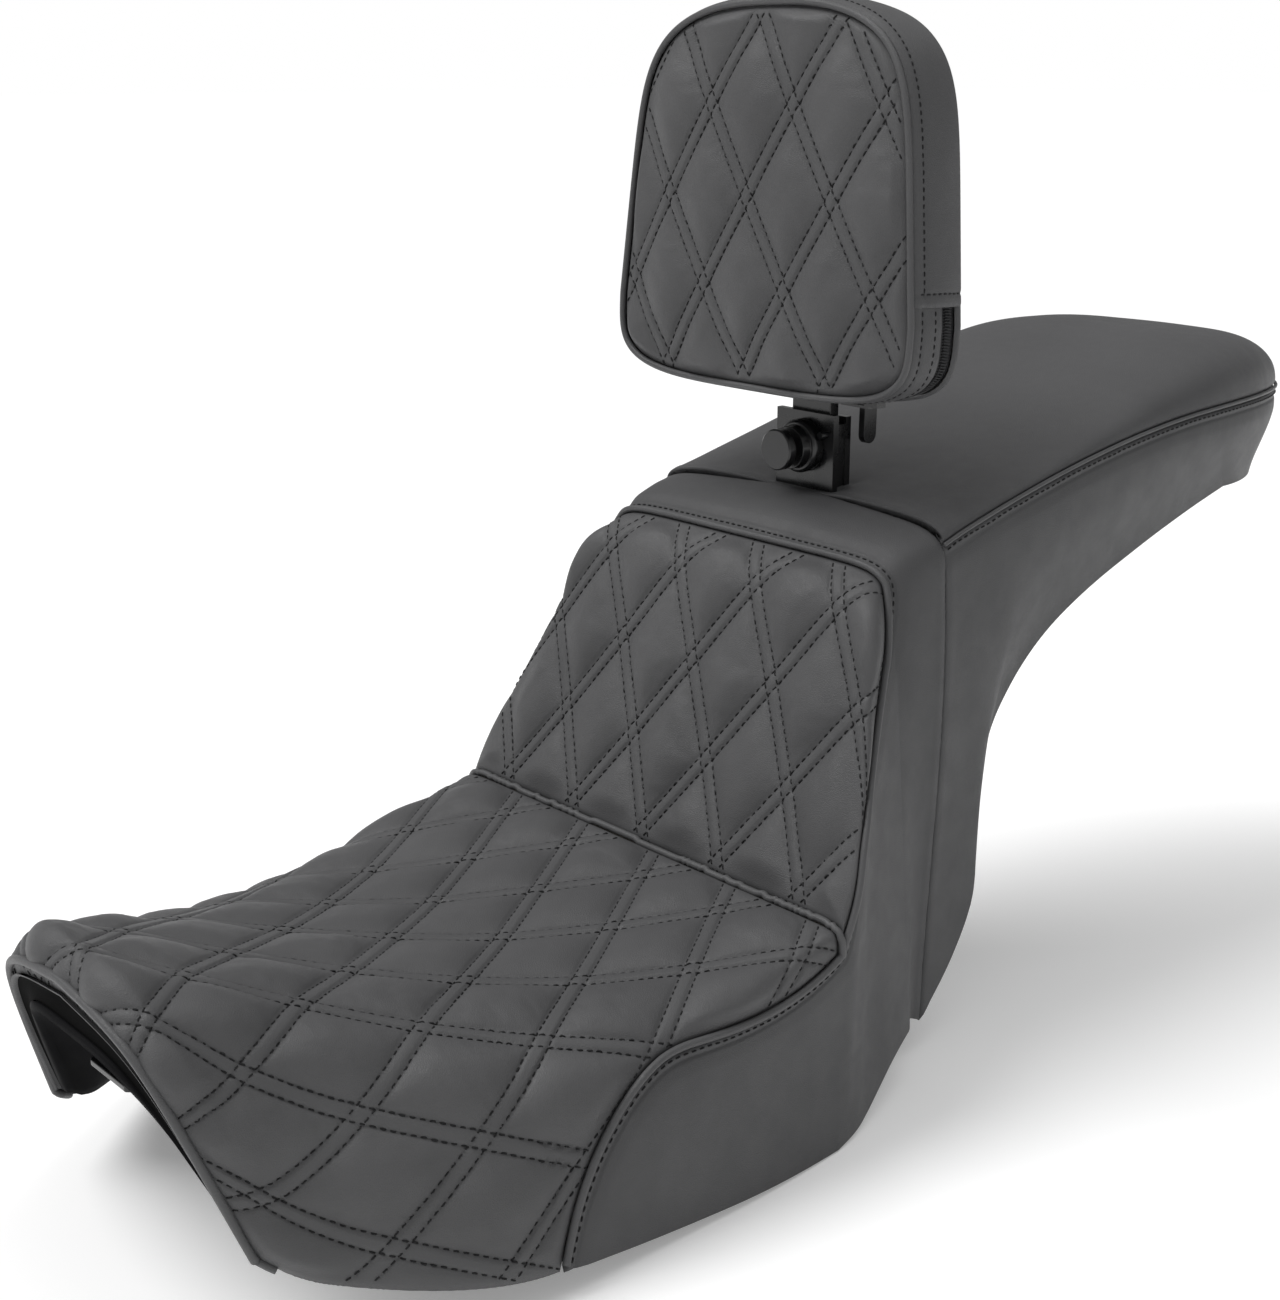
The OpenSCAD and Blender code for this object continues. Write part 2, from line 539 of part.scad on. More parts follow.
module plunger_spring() place() color(zinc) {
    turns = 3.5;
    wire = 0.6;
    coil_r = 5.1;
    rise = shoulder_y - barrel_y - 2 - 2 * wire - 0.4;
    path = [for (k = [0:12 * turns]) let (a = 30 * k)
        [[coil_r * cos(a), barrel_y + 2.2 + wire + rise * k / (12 * turns), plunger_z + coil_r * sin(a)], a]];
    tube([for (p = path) [for (q = [300:-60:0])
        p[0] + wire * [cos(q) * cos(p[1]), sin(q), cos(q) * sin(p[1])]]]);
}

module plunger_knob() place() color(steel_black) difference() {
    union() {
        along_plunger(knob_y) cylinder(d1 = 21.4, d2 = 23, h = 0.8);
        along_plunger(knob_y + 0.8) cylinder(d = 23, h = knob_t - 0.8);
    }
    along_plunger(knob_y + 2) cylinder(d = shank_d + 0.1, h = 10);
}

module plunger_pin() place() color(zinc) {
    along_plunger(knob_y + 2.1) cylinder(d = shank_d, h = shoulder_y - knob_y - 2.1);
    along_plunger(shoulder_y) cylinder(d = 11.7, h = 2);
    along_plunger(shoulder_y + 2) cylinder(d = 6, h = 7.3);
}

tilt_at = [126.5, 240];             // y and z of the tilt axis
lug_r = 8;
ear_x = 16;
ear_t = 3.5;
post_bottom = 72;

module along_tilt(x) translate([x, tilt_at.x, tilt_at.y]) rotate([0, 90, 0]) children();

module post() place() color(steel_black) difference() {
    union() {
        translate([-bar_half_w, bar_y, post_bottom]) cube([2 * bar_half_w, bar_t, tilt_at.y - post_bottom]);
        along_tilt(-bar_half_w) cylinder(r = lug_r, h = 2 * bar_half_w);
    }
    along_tilt(-20) cylinder(d = tilt_bolt_d + 0.3, h = 40);
    for (k = [0:hole_count - 1]) translate([0, bar_y - 1, plunger_z - k * hole_pitch]) rotate([-90, 0, 0])
        cylinder(d = 6.6, h = bar_t + 2);
}

module tilt_bolt() place() color(zinc) {
    along_tilt(-ear_x - ear_t - 6.2) cylinder(d = 14, h = 4.4, $fn = 6);
    along_tilt(-ear_x - ear_t - 2) cylinder(d = tilt_bolt_d, h = 2 * (ear_x + ear_t) + 18);
}
module tilt_nut() place() color(zinc) difference() {
    along_tilt(ear_x + ear_t + 9.6) cylinder(d = 14.5, h = 5.5, $fn = 6);
    along_tilt(0) cylinder(d = tilt_bolt_d + 0.1, h = 60);
}
module tilt_washers() place() color(zinc) difference() {
    for (x = [-bar_half_w - 1.2, bar_half_w + 0.1]) along_tilt(x) cylinder(d = 16, h = 1.1);
    along_tilt(-60) cylinder(d = tilt_bolt_d + 0.4, h = 120);
}

// Cam lever that clamps the tilt joint, hanging down behind the post
lever_x = 24.5;
lever_t = 4;
lever_arm = [[0, 0], [15, -9], [14.5, -35]];
lever_r = [5.5, 5];

module tilt_lever() place() color(steel_black) difference() {
    union() {
        along_tilt(ear_x + ear_t + 0.4) cylinder(r = 9, h = 8.9);
        translate([lever_x, tilt_at.x, tilt_at.y]) for (k = [0, 1]) hull()
            for (p = [lever_arm[k], lever_arm[k + 1]])
                translate([0, p.x, p.y]) rotate([0, 90, 0]) cylinder(r = lever_r[k], h = lever_t, $fn = 32);
    }
    along_tilt(0) cylinder(d = tilt_bolt_d + 0.3, h = 60);
}

// ---------- backrest pad, in its own frame: x across, y from face to back, z up from its foot ----------
module on_pad() place() translate([0, 75, 231]) rotate([-pad_lean, 0, 0]) children();

// Outline at angle a: square-shouldered, widest low down and tapering to a domed top
function pad_point(a, inset) =
    let (up = sin(a) >= 0, q = pow(abs(sin(a)), up ? 0.25 : 0.5), p = pow(abs(cos(a)), up ? 0.8 : 0.5),
         x = (pad_half_w - inset) * p * (cos(a) < 0 ? -1 : 1) * (up ? 1 - pad_taper * q : 1))
    [x, pad_mid + (up ? (pad_up - inset) * q : -(pad_down - inset) * q)];

module pad_shape(inset) polygon([for (a = PAD_ANGLES) pad_point(a, inset)]);
module pad_slab(inset, y0, y1) translate([0, y1, 0]) rotate([90, 0, 0])
    linear_extrude(y1 - y0) pad_shape(inset);
module pad_ring(inset, width, y0, y1) difference() {
    pad_slab(inset, y0, y1);
    pad_slab(inset + width, y0 - 1, y1 + 1);
}

pad_mid = 46;                       // height of the pad's widest line
pad_taper = 0.15;
PAD_ANGLES = concat([0, 0.3, 2], [for (a = [5:5:175]) a], [178, 179.7, 180, 181, 183],
    [for (a = [187:6:355]) a], [357, 359]);
flap_z = 56;                        // where the upper side band ends over the zipper
zip_y = [24.8, 33.2];                // the zip's front and back edges
board_y = [31, 37];
screw_at = [[-25, 42], [25, 42], [-25, 86], [25, 86]];
screw_d = 5;
bracket_y = pad_depth + 0.3;
bracket_t = 3;

module pad_face() on_pad() color(leather) pad_slab(3, 0, cover_t);
module pad_piping() on_pad() color(leather) pad_ring(-0.6, 3, 0.6, 3.4);
module above_flap() translate([-200, -50, flap_z]) cube([400, 150, 300]);
module below_flap() translate([-200, -50, flap_z - 0.6 - 300]) cube([400, 150, 300]);

module pad_upper_band() on_pad() color(smooth_leather) intersection() {
    pad_ring(0, cover_t, 4, pad_depth - 3);
    above_flap();
}
module pad_lower_band() on_pad() color(smooth_leather) intersection() {
    union() {
        pad_ring(0.3, cover_t, 4, zip_y[0] - 0.3);
        pad_ring(0.3, cover_t, zip_y[1] + 0.3, pad_depth - 3);
    }
    below_flap();
}
module pad_zipper() on_pad() color(pan_black) intersection() {
    pad_ring(0.8, 1.6, zip_y[0], zip_y[1]);
    below_flap();
}
module zipper_slider() on_pad() color(zinc) {
    translate([60, zip_y[0] + 0.7, -0.6]) cube([9, 7, 3]);
    translate([42, zip_y[0] + 2.2, -1.8]) cube([20, 4, 1.4]);
}
module pad_back() on_pad() color(smooth_leather) difference() {
    pad_slab(0.5, pad_depth - 2.6, pad_depth);
    for (p = screw_at) translate([p.x, pad_depth - 5, p.y]) rotate([-90, 0, 0]) cylinder(d = 6, h = 10);
}
module pad_foam() on_pad() color(foam_grey) difference() {
    pad_slab(cover_t + 1.5, cover_t + 0.6, board_y[0] - 0.2);
    for (p = screw_at) translate([p.x, board_y[0] - 8, p.y]) rotate([-90, 0, 0]) cylinder(d = 19, h = 12);
}
module pad_board() on_pad() color("#8a6a45") difference() {
    pad_slab(cover_t + 3, board_y[0], board_y[1]);
    for (p = screw_at) translate([p.x, board_y[0] - 2, p.y]) rotate([-90, 0, 0]) cylinder(d = 7.4, h = 12);
}
module at_screws(y) on_pad() for (p = screw_at) translate([p.x, y, p.y]) rotate([-90, 0, 0]) children();
module pad_tnuts() color(zinc) at_screws(board_y[0]) difference() {
    union() {
        translate([0, 0, -1.3]) cylinder(d = 17, h = 1.2);
        translate([0, 0, -1]) cylinder(d = 7.2, h = 6);
    }
    translate([0, 0, -3]) cylinder(d = screw_d + 0.1, h = 12);
}
module pad_screws() color(zinc) at_screws(bracket_y + bracket_t) {
    translate([0, 0, 0.1]) cylinder(d = 9.5, h = 3);
    translate([0, 0, -14]) cylinder(d = screw_d, h = 14.5);
}

// Plate screwed to the back of the pad, with two ears round the post's lug
module pad_bracket() color(steel_black) difference() {
    union() {
        on_pad() translate([-36, bracket_y, 26]) cube([72, bracket_t, 74]);
        place() for (x = [-ear_x - ear_t, ear_x]) {
            along_tilt(x) cylinder(r = 10, h = ear_t);
            translate([x, tilt_at.x - 7, tilt_at.y]) cube([ear_t, 14, 42]);
        }
        place() translate([-ear_x - ear_t, 119.4, tilt_at.y + 19]) cube([2 * (ear_x + ear_t), 5, 23]);
    }
    on_pad() translate([-100, -100, -100]) cube([200, 100 + bracket_y, 400]);
    place() along_tilt(-60) cylinder(d = tilt_bolt_d + 0.1, h = 120);
    at_screws(bracket_y - 2) cylinder(d = screw_d + 0.5, h = 12);
}

base_pan();
rider_foam();
pillion_foam();
rider_panel();
lumbar_panel();
surround_panel();
pillion_top();
pillion_side_panel();
nose_piping();
junction_piping();
surround_piping();
pillion_piping();
rubber_bumpers();
front_tongue();
tongue_rivets();
rear_tab();
tab_rivets();
receiver();
receiver_bolts();
receiver_nuts();
plunger_barrel();
plunger_spring();
plunger_knob();
plunger_pin();
stop_pin();
post();
pad_bracket();
tilt_bolt();
tilt_nut();
tilt_washers();
tilt_lever();
pad_board();
pad_tnuts();
pad_screws();
pad_foam();
pad_face();
pad_upper_band();
pad_lower_band();
pad_piping();
pad_zipper();
zipper_slider();
pad_back();
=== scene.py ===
"""Looks of a two-up motorcycle seat with a rider backrest, built on its CAD frame.

Shapes are worked out in seat coordinates: millimetres, y = 0 near the foot of the lumbar
step, -Y forward, +Z up. place() turns them into the row frame's metres.
"""

import math

import bmesh
import bpy
import numpy as np
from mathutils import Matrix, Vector
from mathutils.bvhtree import BVHTree
from mathutils.kdtree import KDTree


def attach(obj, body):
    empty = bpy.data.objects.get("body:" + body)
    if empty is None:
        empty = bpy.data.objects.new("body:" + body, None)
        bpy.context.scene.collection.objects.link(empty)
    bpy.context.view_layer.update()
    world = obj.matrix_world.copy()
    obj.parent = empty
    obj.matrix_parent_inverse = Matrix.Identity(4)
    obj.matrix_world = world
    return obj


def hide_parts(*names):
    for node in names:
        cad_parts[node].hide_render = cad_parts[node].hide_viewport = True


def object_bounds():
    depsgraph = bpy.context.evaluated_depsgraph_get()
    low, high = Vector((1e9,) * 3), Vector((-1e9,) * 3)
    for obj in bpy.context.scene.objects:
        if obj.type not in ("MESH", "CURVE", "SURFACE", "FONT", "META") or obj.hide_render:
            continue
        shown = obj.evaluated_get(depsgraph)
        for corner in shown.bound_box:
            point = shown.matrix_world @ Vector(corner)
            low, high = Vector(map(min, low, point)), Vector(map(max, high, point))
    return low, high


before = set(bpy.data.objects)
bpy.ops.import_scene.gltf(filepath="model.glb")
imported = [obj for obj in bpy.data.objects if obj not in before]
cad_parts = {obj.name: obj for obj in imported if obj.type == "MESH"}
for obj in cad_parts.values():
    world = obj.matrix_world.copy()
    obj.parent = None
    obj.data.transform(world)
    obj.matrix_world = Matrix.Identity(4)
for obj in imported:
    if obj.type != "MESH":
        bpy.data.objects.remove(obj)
cad_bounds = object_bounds()

# ---------- driving sizes, the same as the CAD's ----------
ORIGIN = np.array([0.0, -540.0, -150.0])  # seat coordinates to the rear screw hole
NOSE_Y = -345.0
RIDER_LEN = 339.0
RIDER_HALF_W = 158.0
DISH_Z = -18.0
STEP_HALF_W = 110.0
PILLION_HALF_W = 109.0
SEAM_Y = 112.0
TAIL_Y = 350.0
TAIL_LEN = 178.0
PAD_HALF_W = 111.0
PAD_UP = 159.0
PAD_DOWN = 44.0
PAD_MID = 46.0  # height of the pad's widest line
PAD_TAPER = 0.15
PAD_DEPTH = 40.0
PAD_LEAN = 2.6
PAD_AT = (75.0, 231.0)  # y and z of the foot of the pad's face
FLAP_Z = 56.0
ZIP_Y = 29.0  # middle of the zip, from the pad's face
COVER_T = 2.5
PAN_T = 3.5

# ---------- upholstery ----------
DIAMOND_W = 60.0
ROW_PITCH = 49.0  # lumbar rows, along the panel
SEAT_ROWS = [  # y of each row of crossings on the rider seat
    (16, -1), (-31, 0), (-77, 1), (-123, 2), (-169, 3), (-214, 4), (-259, 5), (-300, 6), (-332, 7), (-358, 8),
]  # fmt: skip
NOSE_ROW_H = 92.0  # two seat rows, for the distance between bands
PAD_DIAMOND_W = 61.0
PAD_ROW = 47.5
PAD_LATTICE_AT = (-7.0, 105.0)
LOWER_ROWS = (8.0, 18.5)  # stitch rows ahead of the zip, from the pad's face
BAND_HALF = 3.7  # half the flat band between two stitch rows
PUFF_H = 5.0
SIM_STEP = 3.6  # grid of the simulated cover
SIM_FRAMES = 22
SIM_PRESSURE = 5.0
SIM_REACH = 9.0  # longest way a simulated point may move
STITCH_LEN = 3.3
STITCH_PITCH = 4.7
THREAD_R = 0.45
PIPING_R = 1.9
THIN_PIPING_R = 1.15
TOPSTITCH_AT = 6.0  # from a welt to its row of top-stitching
GRID_STEP = 1.3
NOSE_CORD_S = 0.004  # where the nose piping runs
PAD_CENTRE_Z = 97.0
SIDE_Y = (2.6, PAD_DEPTH - 1.6)  # edges of the pad's side, from its face
ZIP_GAP = 4.2  # from the zip's middle to the cover beside it
FOAM_GAP = 4.0  # from a cover's base surface to the foam
FOAM_PRESS = 0.6  # how far foam is pressed into the pan


# ---------- small functions ----------
def clamp(q, a=0.0, b=1.0):
    return np.clip(q, a, b)


def smooth(q):
    k = clamp(q)
    return k * k * (3 - 2 * k)


def bell(d, at, width):
    return np.exp(-(((d - at) / width) ** 2))


def edge_roll(d, depth, reach):
    """Dip of a rolled edge: depth at the edge, nothing from reach on."""
    return depth * (1 - clamp(d / reach)) ** 2


def sind(a):
    return np.sin(np.radians(a))


def cosd(a):
    return np.cos(np.radians(a))


def vec(x, y, z):
    x, y, z = np.broadcast_arrays(np.asarray(x, float), y, z)
    return np.stack([x, y, z], -1)


def spline(points, u):
    """Catmull-Rom curve through points, u from 0 to 1."""
    p = np.asarray(points, float)
    n = len(p) - 1
    p = np.vstack([2 * p[0] - p[1], p, 2 * p[-1] - p[-2]])
    w = clamp(np.asarray(u, float)) * n
    k = np.minimum(w.astype(int), n - 1)
    t = (w - k)[..., None]
    a, b, c, d = (p[k + i] for i in range(4))
    return 0.5 * (2 * b + (c - a) * t + (2 * a - 5 * b + 4 * c - d) * t**2 + (3 * b - a - 3 * c + d) * t**3)


def unit(v):
    return v / np.maximum(np.linalg.norm(v, axis=-1, keepdims=True), 1e-9)


def run_along(line):
    """Distance along a line, or along each column of a grid, up to each point."""
    steps = np.linalg.norm(np.diff(line, axis=0), axis=-1)
    return np.concatenate([np.zeros((1, *steps.shape[1:])), np.cumsum(steps, axis=0)])


def flip(p, t):
    """p mirrored wherever t is negative."""
    p = np.array(p)
    p[..., 0] *= np.where(np.asarray(t) < 0, -1, 1)
    return p


def section(centre, corner, foot, n, t):
    """A rounded section from the centre line over a corner to a foot."""
    a = np.abs(t)[..., None]
    n = np.asarray(n, float)[..., None]
    return flip(centre + (corner - centre) * (1 - (1 - a) ** n) + (foot - corner) * a**n, t)


# ---------- the seat's surface ----------
def crown_z(y):
    ahead = DISH_Z + 49 * (clamp(-123 - y, 0, 999) / 209) ** 1.8
    behind = DISH_Z + 10 * (clamp(y + 123, 0, 999) / 118) ** 1.6
    return np.where(y < -123, ahead, behind)


def nose_round(y):
    q = clamp((NOSE_Y + 14 - y) / 14)
    return 20 * (1 - np.sqrt(1 - q * q))


NOSE_FOOT_Y = -312.0
NOSE_FOOT_RUN = 26.0


def foot_z(y):
    return -98 - 34 * sind(90 * clamp((y - NOSE_FOOT_Y) / 330)) ** 0.8


def foot_corner(y):
    return 10 * clamp((NOSE_FOOT_Y + NOSE_FOOT_RUN - y) / NOSE_FOOT_RUN) ** 2


def rider(y, t):
    r = y - NOSE_Y
    top_z = crown_z(np.maximum(y, NOSE_Y + 12)) - nose_round(y)
    lean = 0.3 * (1 - smooth(r / 85))
    foot_y = y + lean * (top_z - foot_z(y))
    taper = clamp((y + 90) / 84) ** 2
    corner_x = 68 + 87 * smooth((y + 330) / 205) - 2 * taper
    shoulder = 4 * smooth((y + 300) / 100) * (1 - smooth((y + 120) / 100)) + 7 * (1 - smooth(r / 60))
    foot_x = RIDER_HALF_W - 4 * taper - 64 * (1 - sind(90 * clamp((foot_y - NOSE_FOOT_Y) / 120)))
    foot = vec(foot_x, foot_y, foot_z(foot_y) + foot_corner(foot_y))
    n = 3 + 3 * clamp((y + 200) / 195) ** 2
    return section(vec(0, y, top_z), vec(corner_x, y, top_z - shoulder), foot, n, t)


STEP_FOOT = [
    (154, -5, -132), (150.5, 12, -129), (146, 26, -124), (136, 56, -108), (124, 84, -104), (110, 108, -113),
]  # fmt: skip
LUMBAR_RISE = [(0, -6, -8), (0, 16, 44), (0, 34, 91), (0, 52, 137), (0, 72, 154)]
STEP_RISE = [(0, 72, 154), (0, 83, 163.2), (0, 97, 170.2), (0, 112, 174.8)]


def lumbar(h, t):
    c = spline(LUMBAR_RISE, h)
    ease = smooth(h / 0.2)
    swell = 3.5 * sind(180 * h)
    low = RIDER_HALF_W - 5 - 25 * h
    w = low + (RIDER_HALF_W - (RIDER_HALF_W - STEP_HALF_W) * sind(90 * h) ** 1.15 - low) * ease + swell
    return section(c, c + vec(w, swell, 0), spline(STEP_FOOT, 0.75 * h), 6 - 1.5 * h, t)


def flank_bulge(u):
    return 34 * u * (1 - u) ** 2


def step(g, t):
    """The step's top and flank, brought to the pillion's flank at its far end."""
    c = spline(STEP_RISE, g)
    corner = c + vec(STEP_HALF_W + 5 * g, 0, -7 * g)
    p = section(c, corner, spline(STEP_FOOT, 0.75 + 0.25 * g), 4.5 + 0 * g, np.abs(t))
    u = clamp((161 - p[..., 2]) / 275)
    k = smooth(g) * smooth((166 - p[..., 2]) / 30)
    return flip(p + vec(k * (PILLION_HALF_W + u + flank_bulge(u) - p[..., 0]), 0, 0), t)


def body(s, t):
    """s runs 0..1 over the rider seat, 1..2 up the lumbar and 2..3 over the step."""
    s, t = np.broadcast_arrays(np.asarray(s, float), np.asarray(t, float))
    k = s[..., None]
    upper = np.where(k <= 2, lumbar(clamp(s - 1), t), step(clamp(s - 2), t))
    return np.where(k <= 1, rider(NOSE_Y + RIDER_LEN * clamp(s), t), upper)


TOP_LINE = [(118, 174.5), (190, 191), (260, 213), (320, 230), (380, 242), (440, 242), (490, 230), (535, 205)]
PILLION_FOOT = [
    (110, 108, -114), (106, 139, -85), (105, 155, -55), (105, 156, -22), (105, 156, 8), (104, 163, 42),
    (103, 180, 66), (102, 205, 87), (101, 240, 106), (100, 290, 124), (99, 340, 139), (95, 395, 151),
]  # fmt: skip
TAIL_FOOT = (95, 395, 98, 151)


def tail_angle(v):
    return 90 * clamp(v - 1)


def outline(v):
    f = tail_angle(v)
    y = np.where(v <= 1, SEAM_Y + (TAIL_Y - SEAM_Y) * v, TAIL_Y + TAIL_LEN * sind(f))
    return PILLION_HALF_W * cosd(f), y


def welt_z(y):
    return 161 + 45 * sind(90 * clamp((y - SEAM_Y) / 280)) ** 0.9 - 6 * clamp((y - 392) / 136) ** 2


def crown_line(y):
    """Height of the pillion's centre line: its points joined, then eased so that no corner shows."""
    ys, zs = np.array(TOP_LINE, float).T
    return sum(np.interp(y + d, ys, zs) for d in np.linspace(-22, 22, 9)) / 9


def pillion_crown(v, r):
    x, y = outline(v)
    back = np.where(v <= 1, y, TAIL_Y + 0.7 * (y - TAIL_Y))
    qx, qy = x * r, back + (y - back) * r
    zw = welt_z(y)
    zt = np.maximum(crown_line(qy), zw + 2)
    return vec(qx, qy, zw + (zt - zw) * (1 - r**5) ** 0.4)


def pillion_foot(v, inset=0.0):
    f = tail_angle(v)
    half_w, start, length, z = TAIL_FOOT
    tail = vec((half_w - inset) * cosd(f), start + (length - inset) * sind(f), z + 0 * f)
    sooner = v + 0.6 * v * (1 - clamp(v))
    return np.where((v <= 1)[..., None], spline(PILLION_FOOT, sooner) - [inset, 0, 0], tail)


def pillion_flank(v, u):
    x, y = outline(v)
    k = u[..., None]
    bulge = vec(flank_bulge(u) * cosd(tail_angle(v)), 0, 0)
    return vec(x, y, welt_z(y)) * (1 - k) + pillion_foot(v) * k + bulge


def pillion(v, t):
    """Top and flank as one strip, t from -1 to 1 with the welt at +-0.5."""
    v, t = np.broadcast_arrays(np.asarray(v, float), np.asarray(t, float))
    a = np.abs(t)
    top = pillion_crown(v, clamp(2 * a))
    side = pillion_flank(v, clamp(2 * a - 1))
    return flip(np.where((a < 0.5)[..., None], top, side), t)


PAN_LINE = [  # y and z of the pan's middle
    (-345, -3), (-300, -24), (-200, -58), (-20, -58), (40, -30),
    (150, 78), (230, 122), (330, 156), (400, 168), (500, 168),
]  # fmt: skip


def pan_section(y, half_w, foot, swing, t):
    ys, zs = np.array(PAN_LINE, float).T
    z = np.interp(y, ys, zs)
    corner = vec(half_w, y + 0.8 * swing * (foot[..., 1] - y), z)
    return section(vec(0, y, z), corner, foot, 3.0 + 0 * y, t)


def body_pan(s, t):
    s, t = np.broadcast_arrays(np.asarray(s, float), np.asarray(t, float))
    foot = body(s, np.ones_like(s)) + vec(-5.5, np.where(s < 0.2, 2.0, 0.0), 2.0)
    half_w = np.minimum(0.8 * foot[..., 0], body(s, 0.5 + 0 * s)[..., 0] - 12)
    ahead = NOSE_Y + RIDER_LEN * s + np.where(s < 0.01, 2.5, 0.0)
    y = np.where(s <= 1, ahead, NOSE_Y + RIDER_LEN + 59 * (s - 1))
    return pan_section(y, half_w, foot, 0 * s, t)


def pillion_pan(v, t):
    v, t = np.broadcast_arrays(np.asarray(v, float), np.asarray(t, float))
    y = outline(v)[1]
    back = np.where(v <= 1, y, TAIL_Y + 0.7 * (y - TAIL_Y))
    foot = pillion_foot(v, 5.5) + vec(0, 0, 2.0)
    return pan_section(back, 0.8 * foot[..., 0], foot, clamp(v - 1), t)


def rider_welt_z(y):
    return -37 - 79 * clamp((-100 - y) / 88, 0, 9) ** 2.6 + 17 * clamp((y + 100) / 98) ** 3


def rider_welt_t(s):
    """Column value where each row of the rider seat crosses the welt, found by halving."""
    lo, hi = np.full(s.shape, 0.02), np.ones(s.shape)
    for _ in range(24):
        mid = (lo + hi) / 2
        p = body(s, mid)
        inside = p[..., 2] > rider_welt_z(p[..., 1])
        lo, hi = np.where(inside, mid, lo), np.where(inside, hi, mid)
    return (lo + hi) / 2


LUMBAR_WELT = [0.655, 0.615, 0.63, 0.665, 0.695, 0.71, 0.71, 0.69, 0.64, 0.47]


def welt_t(s):
    """Column value of the welt beside the rider and lumbar panels."""
    s = np.asarray(s, float)
    foot = float(rider_welt_t(np.array([1.0]))[0])
    rise = spline([[k] for k in [foot] + LUMBAR_WELT], clamp(s - 1))[..., 0]
    return np.where(s <= 1, rider_welt_t(np.minimum(s, 1.0)), rise)


# ---------- backrest pad, in its own frame: x across, y from face to back, z up from its foot ----------
def on_pad(p):
    p = np.asarray(p, float)
    c, s = math.cos(math.radians(PAD_LEAN)), math.sin(math.radians(PAD_LEAN))
    y, z = p[..., 1], p[..., 2]
    return vec(p[..., 0], PAD_AT[0] + y * c + z * s, PAD_AT[1] - y * s + z * c)


def pad_outline(a, inset=0.0):
    """x and z of the pad's outline at angle a, in degrees: widest low down, tapering to a domed top."""
    up = sind(a) >= 0
    q = np.abs(sind(a)) ** np.where(up, 0.25, 0.5)
    p = np.abs(cosd(a)) ** np.where(up, 0.8, 0.5) * np.sign(cosd(a))
    x = (PAD_HALF_W - inset) * p * np.where(up, 1 - PAD_TAPER * q, 1)
    return x, PAD_MID + np.where(up, (PAD_UP - inset) * q, -(PAD_DOWN - inset) * q)


def even(line, gap):
    """line resampled at even distances."""
    line = np.asarray(line, float)
    run = run_along(line)
    at = np.linspace(0, run[-1], max(2, int(round(run[-1] / gap)) + 1))
    return np.stack([np.interp(at, run, line[:, k]) for k in range(line.shape[1])], 1)


# ---------- meshes ----------
def grid_normals(p):
    down = np.gradient(p, axis=0)
    across = np.gradient(p, axis=1)
    return unit(np.cross(across, down))


def place(p):
    return (np.asarray(p, float).reshape(-1, 3) + ORIGIN) * 0.001


def add_object(name, data):
    obj = bpy.data.objects.new(name, data)
    bpy.context.scene.collection.objects.link(obj)
    return obj


def make_mesh(name, points, faces, material, weld=0.0):
    mesh = bpy.data.meshes.new(name)
    mesh.from_pydata(place(points).tolist(), [], [list(map(int, f)) for f in faces])
    mesh.validate()
    obj = add_object(name, mesh)
    if weld:
        b = bmesh.new()
        b.from_mesh(mesh)
        bmesh.ops.remove_doubles(b, verts=b.verts, dist=weld * 0.001)
        b.to_mesh(mesh)
        b.free()
    mesh.polygons.foreach_set("use_smooth", [True] * len(mesh.polygons))
    mesh.materials.append(material)
    return obj


def grid_faces(rows, cols, loop=False):
    i, j = np.meshgrid(np.arange(rows - 1), np.arange(cols if loop else cols - 1), indexing="ij")
    a = (i * cols + j).ravel()
    b = (i * cols + (j + 1) % cols).ravel()
    return np.stack([a, b, b + cols, a + cols], 1)


def joined(grids):
    """Points and faces of several grids, for one mesh."""
    faces, start = [], 0
    for p in grids:
        faces.append(grid_faces(*p.shape[:2]) + start)
        start += p.shape[0] * p.shape[1]
    return np.concatenate([p.reshape(-1, 3) for p in grids]), np.concatenate(faces)


def sheet(name, p, material, weld=0.0):
    return make_mesh(name, p, grid_faces(p.shape[0], p.shape[1]), material, weld)


def solid(name, over, under, material, weld=0.0, open_end=False):
    """Closed solid between two grids; open_end leaves out the wall where a tail's halves meet."""
    rows, cols = over.shape[:2]
    n = rows * cols
    top = grid_faces(rows, cols)
    j, i = np.arange(cols - 1), np.arange(rows - 1)
    pairs = [(j + 1, j)]  # both ends of every top edge that gets a wall
    if not open_end:
        e = (rows - 1) * cols + j
        pairs.append((e, e + 1))
    left, right = i * cols, i * cols + cols - 1
    pairs += [(left, left + cols), (right + cols, right)]
    walls = [np.stack([a, b, b + n, a + n], 1) for a, b in pairs]
    points = np.concatenate([over.reshape(-1, 3), under.reshape(-1, 3)])
    return make_mesh(name, points, np.concatenate([top, top[:, ::-1] + n] + walls), material, weld)


